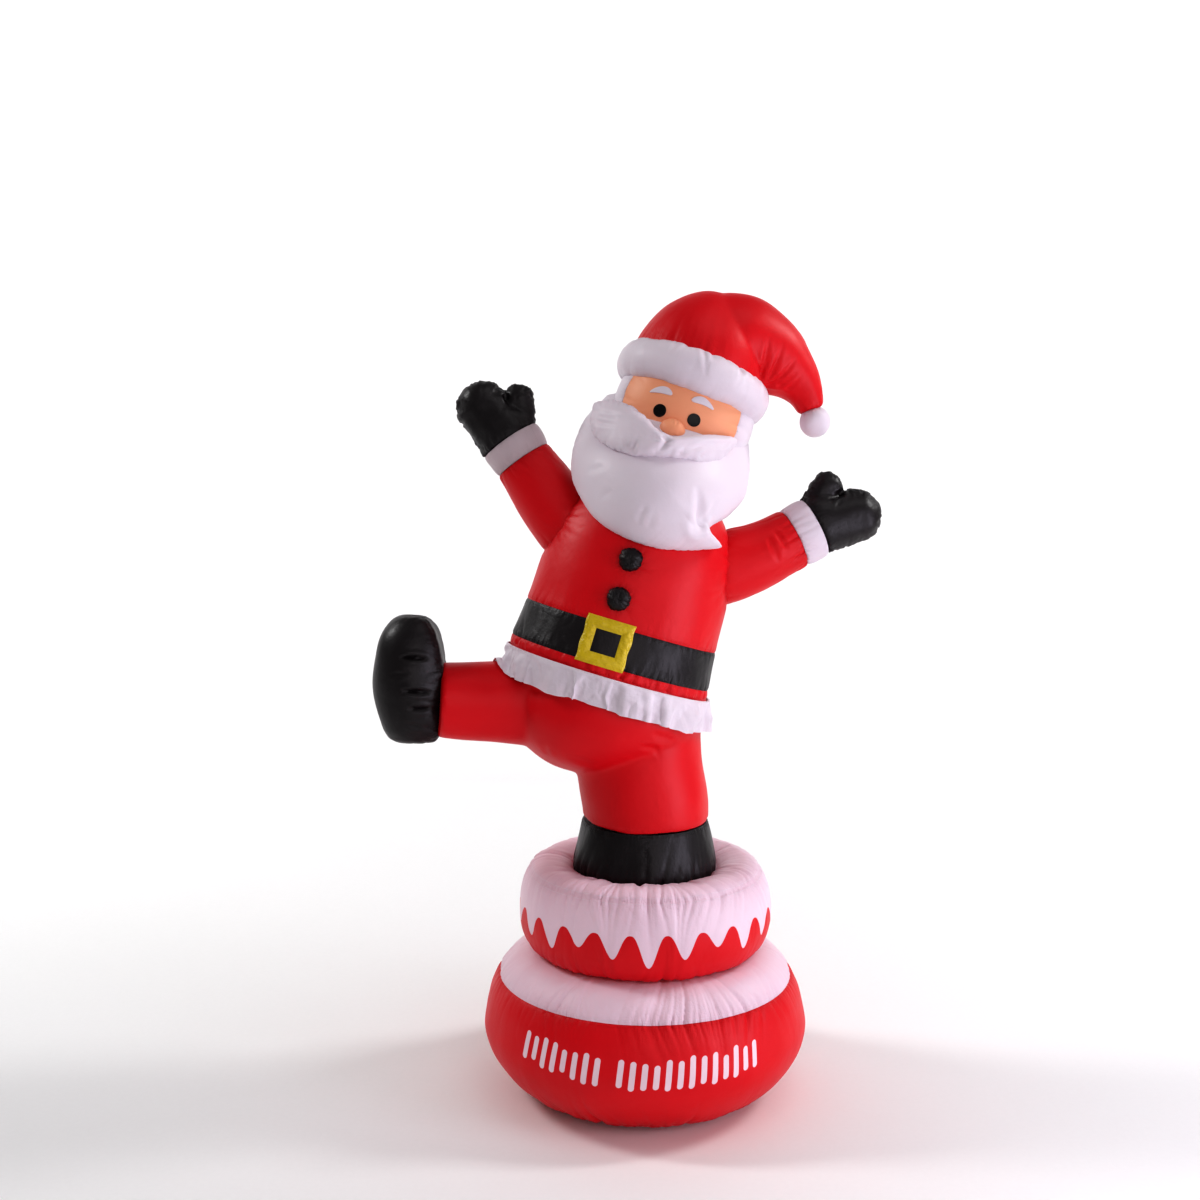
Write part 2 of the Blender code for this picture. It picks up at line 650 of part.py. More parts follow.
def beard_depth(x, z):
    # The beard's middle layer lies on the chest below, and wraps round the jaw above.
    rows = ((0.4167, -0.32), (0.5, -0.32), (0.6, -0.3267), (0.7333, -0.3033), (0.8667, -0.2083),
            (1, -0.0833), (1.1, -0.0333))
    return smooth_curve(rows, z)[0] + 1.56 * x * x


def beard(trunk):
    outline = [
        (-0.2967, 1), (-0.3417, 0.9083), (-0.3617, 0.8033), (-0.3583, 0.725), (-0.3283, 0.6433),
        (-0.2767, 0.58), (-0.2133, 0.5283), (-0.1217, 0.4967), (-0.015, 0.4867), (0.085, 0.4967),
        (0.18, 0.5267), (0.26, 0.5617), (0.1867, 0.6033), (0.2533, 0.68), (0.295, 0.7667),
        (0.2967, 0.8417), (0.28, 0.9167), (0.25, 1), (0.1333, 1.0667), (0, 1.0833), (-0.15, 1.0667)]
    return pillow("beard", (-0.05, 0.7167), outline, beard_depth, BEARD_FULLNESS, 4, 32, trunk)


def moustache_depth(x, z):
    return -0.3417 + 1.86 * (x + 0.05) ** 2 + 0.30 * (z - 0.8667)


def moustache(trunk):
    outline = [
        (-0.3333, 0.9333), (-0.275, 0.9567), (-0.2, 0.95), (-0.125, 0.9133), (-0.0867, 0.8817),
        (-0.05, 0.8633), (-0.0083, 0.8833), (0.05, 0.9133), (0.1333, 0.9433), (0.2033, 0.95),
        (0.1833, 0.8917), (0.1367, 0.8383), (0.075, 0.82), (0, 0.8067), (-0.0833, 0.7867),
        (-0.175, 0.7767), (-0.275, 0.7967), (-0.3283, 0.8583)]
    return pillow("moustache", (-0.0583, 0.8467), outline, moustache_depth, MOUSTACHE_FULLNESS, 3, 26, trunk)


def hat_brim(hat):
    rings = []
    for c, s in circle(10):
        radius = BRIM_RADIUS + BRIM_HALF_WIDTH * c
        rings.append([(radius * a, radius * b, BRIM_HALF_HEIGHT * s) for a, b in circle(FINE_SIDES)])
    return hoop("hat_brim", rings, hat, white_fabric())


def crown_forms(hat):
    # A dome, and the pointed end that flops over to the side.
    steps = ((0.0, 1.0), (0.25, 0.99), (0.48, 0.91), (0.68, 0.76), (0.84, 0.56), (0.95, 0.32), (1.0, 0.0))
    profile = [(CROWN_RADIUS * size, CROWN_HEIGHT * up) for up, size in steps]
    dome = turned("hat_crown", [(0, 0)] + profile, ROUND_SIDES, hat, red_fabric())
    path, radii = tail_path()
    return dome, tube("hat_tail_form", path, radii, ROUND_SIDES, hat)


def tail_path():
    # The tail's axis and radii, as shares of the crown's radius and height.
    rows = ((0, 0.13, 0.42, 0.76), (1, 0.52, 0.51, 0.73), (2, 0.96, 0.52, 0.56), (3, 1.36, 0.445, 0.40),
            (4, 1.62, 0.33, 0.28), (5, 1.80, 0.18, TAIL_TIP_RADIUS / CROWN_RADIUS))
    stations = [smooth_curve(rows, t) for t in even_steps(0, 5, 8)]
    path = [Vector((x * CROWN_RADIUS, 0, z * CROWN_HEIGHT)) for x, z, r in stations]
    return path, [r * CROWN_RADIUS for x, z, r in stations]


def hat_pompom(hat):
    path, radii = tail_path()
    centre = path[-1] + (path[-1] - path[-2]).normalized() * 0.8 * POMPOM_RADIUS
    return ellipsoid("hat_pompom", centre, [POMPOM_RADIUS] * 3, SMALL_SIDES, 7, hat, white_fabric())


def half_space(trunk):
    # Everything above the plane of the jacket's hem.
    bm = bmesh.new()
    bmesh.ops.create_cube(bm, size=4 * HEM_RADIUS)
    bmesh.ops.translate(bm, vec=(0, 0, 2 * HEM_RADIUS), verts=bm.verts)
    return cutter(add_object("above_hem_form", finished_mesh("above_hem_form", bm), trunk))


def build_base():
    lower_tier()
    lower_tier_top()
    upper_tier()
    upper_tier_icing()


def build_trunk(trunk, skull_room):
    # Returns the room that the jacket needs in whatever is sewn on it.
    hem, strap, coat = jacket_hem(trunk), belt(trunk), jacket(trunk)
    hem_room, coat_room = room_for(hem), room_for(coat)
    trim(coat, skull_room)
    trim(buckle(trunk), hem_room, room_for(strap), coat_room)
    for name, rise in zip(("lower_button", "upper_button"), BUTTON_RISES):
        trim(button(name, rise, trunk), coat_room)
    return hem_room, coat_room


def build_legs(figure, trunk, hem_room):
    standing_boot(figure)
    seat, collar, leg, kick = trouser_forms(figure, trunk)
    boot_room = room_for(kicking_boot(figure))
    trim(flounce(trunk), hem_room, room_for(seat), room_for(leg), room_for(kick))
    trim(join(seat, collar, leg, kick), half_space(trunk), boot_room)


def build_arms(figure, coat_room):
    # Returns the rooms that the sleeves need in the beard.
    rooms = []
    for side, points, thumb_side, bend in (("left", LEFT_ARM, -1, 0.16), ("right", RIGHT_ARM, 1, 0.36)):
        arm = sleeve(side + "_sleeve", points, figure)
        rooms.append(room_for(arm))
        trim(arm, coat_room)
        cuff(side + "_cuff", points, figure)
        mitten(side + "_mitten", points, thumb_side, bend, figure)
    return rooms


def build_hat(hat, skull_room):
    # Returns the room that the brim needs in the beard.
    brim = hat_brim(hat)
    brim_room = room_for(brim)
    crown, tail = crown_forms(hat)
    trim(hat_pompom(hat), room_for(tail))
    trim(join(crown, tail), brim_room, skull_room)
    trim(brim, skull_room)
    return brim_room


def build_skull(head_guide):
    # The white head and the face panel sewn into its front. Returns the room that both need.
    front, back = -math.pi / 2, math.pi / 2
    seam = math.asin(-FACE_SEAM_DEPTH / HEAD_HALF_DEPTH)
    face_rings, rear_rings = head_rings(front, seam, 5), head_rings(seam, back, 8)
    loft("face", face_rings, head_guide, skin_fabric())
    loft("head", head_rings(seam, back, 8, SEAM_GAP), head_guide, white_fabric())
    return room_for(cutter(loft("skull_form", face_rings + rear_rings[1:], head_guide)))


def build_features(head_guide, skull_room):
    # Returns the room that the nose needs in the beard and the moustache.
    snout = nose(head_guide)
    nose_room = room_for(snout)
    trim(snout, skull_room)
    for name, side in (("left", -1), ("right", 1)):
        trim(eye(name + "_eye", side, head_guide), skull_room)
        trim(brow(name + "_brow", side, head_guide), skull_room)
    return nose_room


def build():
    clear_scene()
    build_base()

    figure = guide("figure", None, (0, 0, sole_height()))
    trunk = guide("trunk", figure, (HIP_SIDEWAYS, HIP_BACK, HIP_RISE), (-TRUNK_LEAN_BACK, TRUNK_LEAN_RIGHT, 0))
    head_guide = guide("head_guide", trunk, (0, 0, HEAD_RISE), (0, 0, FRONT_TURN))
    hat = guide("hat", trunk, (0, 0, BRIM_RISE), (-BRIM_LEAN_BACK, BRIM_ROLL, 0))
    skull_room = build_skull(head_guide)

    hem_room, coat_room = build_trunk(trunk, skull_room)
    build_legs(figure, trunk, hem_room)
    sleeve_rooms = build_arms(figure, coat_room)
    brim_room = build_hat(hat, skull_room)
    nose_room = build_features(head_guide, skull_room)

    bib, whiskers = beard(trunk), moustache(trunk)
    beard_room = room_for(bib)
    trim(bib, skull_room, coat_room, brim_room, nose_room, *sleeve_rooms)
    trim(whiskers, skull_room, beard_room, brim_room, nose_room)


build()
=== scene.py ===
# Inflatable Santa kicking up a leg on a two-tier cake: taut nylon chambers, puckered along their seams
# Metres, +Z up. The figure faces -Y, and left and right are the viewer's, looking along +Y
import math

import bmesh
import bpy
import numpy as np
from mathutils import Euler, Matrix, Vector
from mathutils.bvhtree import BVHTree
from mathutils.kdtree import KDTree


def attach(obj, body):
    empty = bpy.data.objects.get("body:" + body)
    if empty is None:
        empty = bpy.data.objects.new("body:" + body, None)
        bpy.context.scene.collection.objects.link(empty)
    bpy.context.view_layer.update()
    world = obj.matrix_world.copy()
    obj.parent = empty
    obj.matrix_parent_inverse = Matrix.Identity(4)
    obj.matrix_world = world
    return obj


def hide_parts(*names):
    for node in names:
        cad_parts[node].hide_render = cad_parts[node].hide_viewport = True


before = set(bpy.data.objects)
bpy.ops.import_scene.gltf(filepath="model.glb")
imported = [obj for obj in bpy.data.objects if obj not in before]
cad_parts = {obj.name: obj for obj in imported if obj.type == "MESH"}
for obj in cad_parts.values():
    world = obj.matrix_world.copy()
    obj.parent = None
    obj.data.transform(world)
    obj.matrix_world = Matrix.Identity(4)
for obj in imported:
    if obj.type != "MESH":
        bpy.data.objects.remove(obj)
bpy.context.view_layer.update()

print("frame:", len(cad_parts), "nodes")

# How the figure stands, and how fine the cloth's mesh is
stance = {"sole": 0.494, "hips": (-0.085, 0.030, 0.455), "leanRight": 16.5, "leanBack": 5.0,
          "frontTurn": -8.0, "headRise": 0.600, "brimRise": 0.676, "brimRoll": 4.0, "brimBack": 4.0}
cell = 0.0042  # side of one cell of cloth
lineStep = 0.002  # how finely a seam or a fold is followed
sharpFold = math.radians(52)


def turnBy(x=0.0, y=0.0, z=0.0):
    return Euler([math.radians(a) for a in (x, y, z)]).to_matrix().to_4x4()


worldSpace = Matrix.Identity(4)
figureSpace = Matrix.Translation((0, 0, stance["sole"]))
trunkSpace = figureSpace @ Matrix.Translation(stance["hips"])
trunkSpace = trunkSpace @ turnBy(-stance["leanBack"], stance["leanRight"])
headSpace = trunkSpace @ Matrix.Translation((0, 0, stance["headRise"])) @ turnBy(z=stance["frontTurn"])
hatSpace = trunkSpace @ Matrix.Translation((0, 0, stance["brimRise"]))
hatSpace = hatSpace @ turnBy(-stance["brimBack"], stance["brimRoll"])


def placed(points, space):
    points = np.asarray(points, float)
    m = np.array(space)
    return points @ m[:3, :3].T + m[:3, 3]


# Curves and grids of cloth

def onCurve(rows, ts):
    # a smooth curve through rows of numbers, the first of which is the station
    rows, ts = np.array(rows, float), np.asarray(ts, float)
    shape = ts.shape
    ts = np.clip(ts.ravel(), rows[0, 0], rows[-1, 0])
    last = len(rows) - 1
    i = np.clip(np.searchsorted(rows[:, 0], ts, side="right") - 1, 0, last - 1)
    before, start = rows[np.maximum(i - 1, 0)], rows[i]
    end, after = rows[i + 1], rows[np.minimum(i + 2, last)]
    span = (end[:, :1] - start[:, :1])
    u = (ts[:, None] - start[:, :1]) / span
    slopeIn = (end - before) * (span / (end[:, :1] - before[:, :1]))
    slopeOut = (after - start) * (span / (after[:, :1] - start[:, :1]))
    value = start * (2 * u ** 3 - 3 * u ** 2 + 1) + slopeIn * (u ** 3 - 2 * u ** 2 + u)
    value = value + end * (3 * u ** 2 - 2 * u ** 3) + slopeOut * (u ** 3 - u ** 2)
    return value[:, 1:].reshape(*shape, -1)


def evenly(points, step):
    # the same line with its points an even step apart
    points = np.asarray(points, float)
    run = np.concatenate([[0], np.cumsum(np.linalg.norm(np.diff(points, axis=0), axis=1))])
    count = max(2, round(run[-1] / step) + 1)
    at = np.linspace(0, run[-1], count)
    return np.stack([np.interp(at, run, points[:, k]) for k in range(points.shape[1])], 1)


def profile(points, step=cell):
    # a smooth outline through a few pairs of radius and height
    rows = [(i, *point) for i, point in enumerate(points)]
    return evenly(onCurve(rows, np.linspace(0, len(points) - 1, 40 * len(points))), step)


def roundAngles(count, start=0.0):
    return start + np.linspace(0, 2 * math.pi, count, endpoint=False)


def turned(outline, columns, flat=1.0):
    # a grid turned about Z
    angle = roundAngles(columns)
    radius, height = outline[:, :1], outline[:, 1:2]
    return np.stack([radius * np.cos(angle), radius * np.sin(angle) * flat, height + 0 * angle], -1)


def tube(path, radii, columns, roundEnd=0):
    # a grid round a path, with a rounded end of that many extra rows
    path, radii = np.asarray(path, float), np.asarray(radii, float)
    ahead = np.gradient(path, axis=0)
    ahead /= np.linalg.norm(ahead, axis=1)[:, None]
    if roundEnd:
        bow = np.linspace(0, math.pi / 2, roundEnd + 1)[1:]
        reach = path[-1] + ahead[-1] * (radii[-1] * 0.9 * np.sin(bow))[:, None]
        path = np.vstack([path, reach])
        ahead = np.vstack([ahead, np.repeat(ahead[-1:], roundEnd, 0)])
        radii = np.concatenate([radii, radii[-1] * np.maximum(np.cos(bow), 1e-4)])
    normal = np.cross(ahead[0], (0, 1, 0))
    angle = roundAngles(columns)
    rings = []
    for point, forward, radius in zip(path, ahead, radii):
        normal = normal - forward * normal.dot(forward)
        normal /= np.linalg.norm(normal)
        side = np.cross(forward, normal)
        rings.append(point + radius * (np.outer(np.cos(angle), normal) + np.outer(np.sin(angle), side)))
    return np.array(rings)


def gridNormals(grid):
    down = np.gradient(grid, axis=0)
    across = np.roll(grid, -1, 1) - np.roll(grid, 1, 1)
    normals = np.cross(across, down)
    size = np.linalg.norm(normals, axis=2, keepdims=True)
    normals = normals / np.maximum(size, 1e-12)
    middle = grid.mean(1, keepdims=True)
    outward = np.sign(((grid - middle) * normals).sum())
    return normals * (outward or 1)


def capped(name, grid):
    # a closed mesh: the grid's two ends are drawn in to points
    rows, columns = grid.shape[:2]
    index = np.arange(rows * columns).reshape(rows, columns)
    beside = np.roll(index, -1, 1)
    quads = np.stack([index[:-1], beside[:-1], beside[1:], index[1:]], -1).reshape(-1, 4).tolist()
    low, high = rows * columns, rows * columns + 1
    fans = [(a, low, b) for a, b in zip(index[0].tolist(), beside[0].tolist())]
    fans += [(b, high, a) for a, b in zip(index[-1].tolist(), beside[-1].tolist())]
    points = np.vstack([grid.reshape(-1, 3), grid[0].mean(0), grid[-1].mean(0)])
    mesh = bpy.data.meshes.new(name)
    mesh.from_pydata(points.tolist(), [], quads + fans)
    return mesh


def weld(mesh):
    # doubles at the poles go, and faces turn outwards
    bm = bmesh.new()
    bm.from_mesh(mesh)
    bmesh.ops.remove_doubles(bm, verts=bm.verts, dist=1e-6)
    bmesh.ops.recalc_face_normals(bm, faces=bm.faces)
    bm.to_mesh(mesh)
    bm.free()
    return mesh


def linked(name, data):
    thing = bpy.data.objects.new(name, data)
    bpy.context.scene.collection.objects.link(thing)
    return thing


def evaluated(thing, name):
    # the piece's mesh with its modifiers applied, as a new piece
    graph = bpy.context.evaluated_depsgraph_get()
    mesh = bpy.data.meshes.new_from_object(thing.evaluated_get(graph), depsgraph=graph)
    bpy.data.objects.remove(thing)
    return linked(name, mesh)


def vectors(items, key):
    flat = np.empty(len(items) * 3, np.float32)
    items.foreach_get(key, flat)
    return flat.reshape(-1, 3).astype(float)


def coordinates(mesh):
    return vectors(mesh.vertices, "co")


def facing(mesh):
    return vectors(mesh.vertex_normals, "vector")


def moveTo(mesh, points):
    mesh.vertices.foreach_set("co", points.astype(np.float32).ravel())


def surfaceOf(thing):
    return BVHTree.FromObject(thing, bpy.context.evaluated_depsgraph_get())


# Puckers, creases and the cloth's own unevenness

def nearestOn(points, line, step):
    # how far each point is from a line of even steps, how far along it, the line's length, and the place
    # on it nearest the point
    tree = KDTree(len(line))
    for i, point in enumerate(line.tolist()):
        tree.insert(point, i)
    tree.balance()
    found = [tree.find(point)[1:] for point in points.tolist()]
    index = np.array([f[0] for f in found])
    away = np.array([f[1] for f in found])
    ahead = np.gradient(line, axis=0)
    ahead /= np.maximum(np.linalg.norm(ahead, axis=1), 1e-9)[:, None]
    past = ((points - line[index]) * ahead[index]).sum(1)
    return away, index * step + past, step * (len(line) - 1), line[index] + ahead[index] * past[:, None]


def wander(along, size, seed, total):
    # a slow random change along a line, from 0 to 1
    rng = np.random.default_rng(seed)
    count = max(4, round(total / size))
    values = rng.uniform(0, 1, count)
    values = np.append(values, values[0])
    u = np.clip(along / total, 0, 1) * count
    i = np.clip(u.astype(int), 0, count - 1)
    share = u - i
    share = share * share * (3 - 2 * share)
    return values[i] * (1 - share) + values[i + 1] * share


def gathers(along, total, spacing, seed):
    # rounded ridges between sharp valleys, in three sizes that share their valleys
    rng = np.random.default_rng(seed)
    count = max(4, round(total / spacing))
    valleys = np.concatenate([[0], np.cumsum(rng.uniform(0.4, 1.6, count))])
    valleys *= total / valleys[-1]
    ridges = []
    for skip in (1, 2, 5):
        edges = np.unique(np.append(valleys[::skip], total))
        heights = rng.uniform(0.25, 1, len(edges) - 1)
        i = np.clip(np.searchsorted(edges, along, side="right") - 1, 0, len(edges) - 2)
        width = edges[i + 1] - edges[i]
        share = np.clip((along - edges[i]) / width, 0, 1)
        ridges.append(heights[i] * (np.sin(math.pi * share) ** 0.75 - 0.55) * width / spacing)
    return ridges


# What all seams share: how much fuller the puckers are than their stated heights, how far they lean, the
# share and reach of each of the three sizes of ridge, and how the thread holds them down beside it
puckers = {"fullness": 4.2, "lean": 0.5, "ridges": ((0.55, 1.0), (0.34, 1.7), (0.16, 2.8)),
           "held": 0.4, "heldWidth": 0.002}


def seam(line, closed=True, spacing=0.016, height=0.0009, reach=0.022, pinch=0.0028, pinchWidth=0.0045,
         seed=1, even=0.3):
    # one sewn line: its puckers' spacing, height and reach, how deep and wide its thread draws the cloth in,
    # and how even the gathers are, from 0 to 1
    return {"line": np.asarray(line, float), "closed": closed, "spacing": spacing, "height": height,
            "reach": reach, "pinch": pinch, "pinchWidth": pinchWidth, "seed": seed, "even": even}


def seamRelief(points, s):
    line = np.vstack([s["line"], s["line"][:1]]) if s["closed"] else s["line"]
    away, along, total, foot = nearestOn(points, evenly(line, lineStep), lineStep)
    lean = (wander(along, 3 * s["spacing"], s["seed"] + 7, total) - 0.5) * 2 * puckers["lean"]
    uneven = wander(along, 8 * s["spacing"], s["seed"] + 3, total) ** 1.5 * 1.5
    strength = s["even"] + (1 - s["even"]) * uneven
    relief = 0
    ridges = gathers(along + away * lean, total, s["spacing"], s["seed"])
    for ridge, (share, longer) in zip(ridges, puckers["ridges"]):
        relief = relief + share * ridge * np.exp(-(away / (s["reach"] * longer)) ** 1.2)
    held = 1 - puckers["held"] * np.exp(-(away / puckers["heldWidth"]) ** 2)
    relief = relief * s["height"] * strength * held * puckers["fullness"]
    relief = relief - s["pinch"] * np.exp(-away / s["pinchWidth"])
    return relief, np.exp(-away / s["reach"]) * np.clip(strength + 0.15, 0, 1), foot


def crease(start, end, depth, width, root=False):
    # one fold: deepest in its middle, or at its root
    return {"start": start, "end": end, "depth": depth, "width": width, "root": root}


def creasesOf(rows, root=False):
    return [crease(*row, root) for row in rows]


def creaseRelief(points, surface, c, space):
    # a sharp valley between two low banks
    start, end = placed([c["start"], c["end"]], space)
    straight = [start + (end - start) * t for t in np.linspace(0, 1, 16)]
    line = evenly([surface.find_nearest(Vector(p))[0] for p in straight], lineStep)
    reach = np.linalg.norm(end - start) / 2 + 6 * c["width"]
    near = np.linalg.norm(points - (start + end) / 2, axis=1) < reach
    relief = np.zeros(len(points))
    if not near.any():
        return relief
    away, along, total, _ = nearestOn(points[near], line, lineStep)
    share = np.clip(along / total, 0, 1)
    deep = (1 - share) ** 0.8 if c["root"] else np.sin(math.pi * share) ** 0.7
    ratio = away / (c["width"] * (0.55 + 0.45 * deep))
    relief[near] = c["depth"] * deep * (0.42 * np.exp(-((ratio - 2.0) / 1.1) ** 2) - np.exp(-ratio ** 1.5))
    return relief


def unevenness(points, size, seed):
    # slow waves in several directions, about 1 high
    rng = np.random.default_rng(seed)
    total = 0
    for _ in range(7):
        way = rng.normal(size=3)
        way *= 2 * math.pi / (np.linalg.norm(way) * size * rng.uniform(0.7, 1.6))
        total = total + np.sin(points @ way + rng.uniform(0, 6.3))
    return total / 3


def crumple(points, size, seed):
    # crossing sharp folds of limp cloth, about 1 high
    rng = np.random.default_rng(seed)
    total = 0
    for _ in range(6):
        way = rng.normal(size=3)
        way /= np.linalg.norm(way) * size * rng.uniform(0.6, 1.7)
        phase = points @ way + 0.45 * unevenness(points, 2.4 * size, rng.integers(1000))
        folds = np.abs((phase % 1) * 2 - 1)
        mask = np.clip(unevenness(points, 3 * size, rng.integers(1000)) + 0.45, 0, 1)
        total = total + (folds - 0.5) * mask
    return total / 1.6


def dressed(points, normals, seams=(), creases=(), space=worldSpace, surface=None, wave=0.0007,
            waveSize=0.10, crinkle=0.0, crinkleSize=0.05, seed=5, extra=None):
    # the points moved along their normals by every pucker, crease and wave, with how gathered the cloth is
    # at each (from 0 to 1) and the nearest place on the thread that gathers it
    relief = wave * unevenness(points, waveSize, seed)
    gathered = np.zeros((len(points), 4))
    if crinkle:
        relief = relief + crinkle * crumple(points, crinkleSize, seed + 11)
    for s in seams:
        height, strain, foot = seamRelief(points, {**s, "line": placed(s["line"], space)})
        relief = relief + height
        gathered = np.where((strain > gathered[:, 0])[:, None], np.column_stack([strain, foot]), gathered)
    for c in creases:
        relief = relief + creaseRelief(points, surface, c, space)
    if extra is not None:
        relief = relief + extra
    return points + normals * relief[:, None], gathered


def addStrain(mesh, gathered):
    values = np.zeros((len(mesh.vertices), 4), np.float32)
    values[:len(gathered)] = gathered
    strain = mesh.attributes.new("strain", "FLOAT", "POINT")
    strain.data.foreach_set("value", values[:, 0].copy())
    thread = mesh.attributes.new("thread", "FLOAT_VECTOR", "POINT")
    thread.data.foreach_set("vector", values[:, 1:].ravel())


def evenStrain(mesh, amount):
    points = coordinates(mesh)
    addStrain(mesh, np.column_stack([np.full(len(points), amount), points]))


surfaces = {}


def finishPiece(thing, cloth, nodes):
    thing.data.materials.clear()
    thing.data.materials.append(cloths[cloth]["material"])
    thing.data.shade_smooth()
    thing.data.set_sharp_from_angle(angle=sharpFold)
    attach(thing, "root")
    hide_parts(*nodes)
    surfaces[thing.name] = surfaceOf(thing)
    print("made", thing.name, len(thing.data.polygons))


def sewn(name, grid, cloth, nodes, space=worldSpace, fill=0.95, floor=None, **folds):
    # one chamber from a grid of cloth
    world = placed(grid, space)
    normals = gridNormals(world)
    flat = world.reshape(-1, 3)
    surface = None
    if folds.get("creases"):
        rough = weld(capped(name, world))
        bm = bmesh.new()
        bm.from_mesh(rough)
        surface = BVHTree.FromBMesh(bm)
        bm.free()
        bpy.data.meshes.remove(rough)
    moved, strain = dressed(flat, normals.reshape(-1, 3), space=space, surface=surface, **folds)
    if floor is not None:
        moved[:, 2] = np.maximum(moved[:, 2], floor)
    mesh = capped(name, moved.reshape(world.shape))
    addStrain(mesh, strain)
    finishPiece(linked(name, weld(mesh)), cloth, nodes)


def fused(name, grids, voxel, rounds, cut=None):
    # several forms blown up as one chamber
    parts = [weld(capped(name, grid)) for grid in grids]
    bm = bmesh.new()
    for part in parts:
        bm.from_mesh(part)
        bpy.data.meshes.remove(part)
    mesh = bpy.data.meshes.new(name)
    bm.to_mesh(mesh)
    bm.free()
    thing = linked(name + "Form", mesh)
    remesh = thing.modifiers.new("remesh", "REMESH")
    remesh.mode = "VOXEL"
    remesh.voxel_size = voxel
    smooth = thing.modifiers.new("smooth", "SMOOTH")
    smooth.factor, smooth.iterations = 0.5, rounds
    whole = evaluated(thing, name)
    if cut:
        bm = bmesh.new()
        bm.from_mesh(whole.data)
        for point, normal in cut:
            every = bm.verts[:] + bm.edges[:] + bm.faces[:]
            made = bmesh.ops.bisect_plane(bm, geom=every, plane_co=point, plane_no=normal, clear_outer=True)
            edges = [e for e in made["geom_cut"] if isinstance(e, bmesh.types.BMEdge)]
            bmesh.ops.holes_fill(bm, edges=edges)
        bm.to_mesh(whole.data)
        bm.free()
    return whole


def dressFused(thing, cloth, nodes, space, fill=0.95, **folds):
    mesh = thing.data
    moved, strain = dressed(coordinates(mesh), facing(mesh), space=space, surface=surfaceOf(thing), **folds)
    moveTo(mesh, moved)
    addStrain(mesh, strain)
    mesh.update()
    finishPiece(thing, cloth, nodes)


# Cloth finishes

class Wire:  # a shader socket that takes part in Python expressions
    def __init__(self, shop, socket):
        self.shop, self.socket = shop, socket

    def maths(self, operation, *others):
        node = self.shop.node("ShaderNodeMath", {"operation": operation}, dict(enumerate((self, *others))))
        return Wire(self.shop, node.outputs[0])

    def __add__(self, other): return self.maths("ADD", other)
    def __sub__(self, other): return self.maths("SUBTRACT", other)
    def __mul__(self, other): return self.maths("MULTIPLY", other)
    def __truediv__(self, other): return self.maths("DIVIDE", other)
    def __pow__(self, other): return self.maths("POWER", other)
    def __rsub__(self, other): return (self * -1) + other
    __radd__, __rmul__ = __add__, __mul__

    def clipped(self, low=0.0, high=1.0):
        node = self.shop.node("ShaderNodeClamp", {}, {"Value": self, "Min": low, "Max": high})
        return Wire(self.shop, node.outputs[0])


class Shop:  # one material's nodes
    def __init__(self, name):
        self.material = bpy.data.materials.new(name)
        self.material.use_nodes = True
        self.tree = self.material.node_tree
        self.shader = self.tree.nodes["Principled BSDF"]

    def node(self, kind, settings, sockets):
        node = self.tree.nodes.new(kind)
        for key, value in settings.items():
            setattr(node, key, value)
        for key, value in sockets.items():
            self.feed(node.inputs[key], value)
        return node

    def feed(self, socket, value):
        if isinstance(value, Wire):
            value = value.socket
        if isinstance(value, bpy.types.NodeSocket):
            self.tree.links.new(value, socket)
        else:
            socket.default_value = value

    def noise(self, place, scale, detail=3.0, roughness=0.5):
        sockets = {"Vector": place, "Scale": scale, "Detail": detail, "Roughness": roughness}
        return Wire(self, self.node("ShaderNodeTexNoise", {}, sockets).outputs["Fac"])

    def mix(self, share, first, second):
        node = self.node("ShaderNodeMix", {"data_type": "RGBA"}, {})
        for key, value in (("Factor", share), ("A", first), ("B", second)):
            self.feed(next(s for s in node.inputs if s.name == key and s.enabled), value)
        return next(s for s in node.outputs if s.enabled)


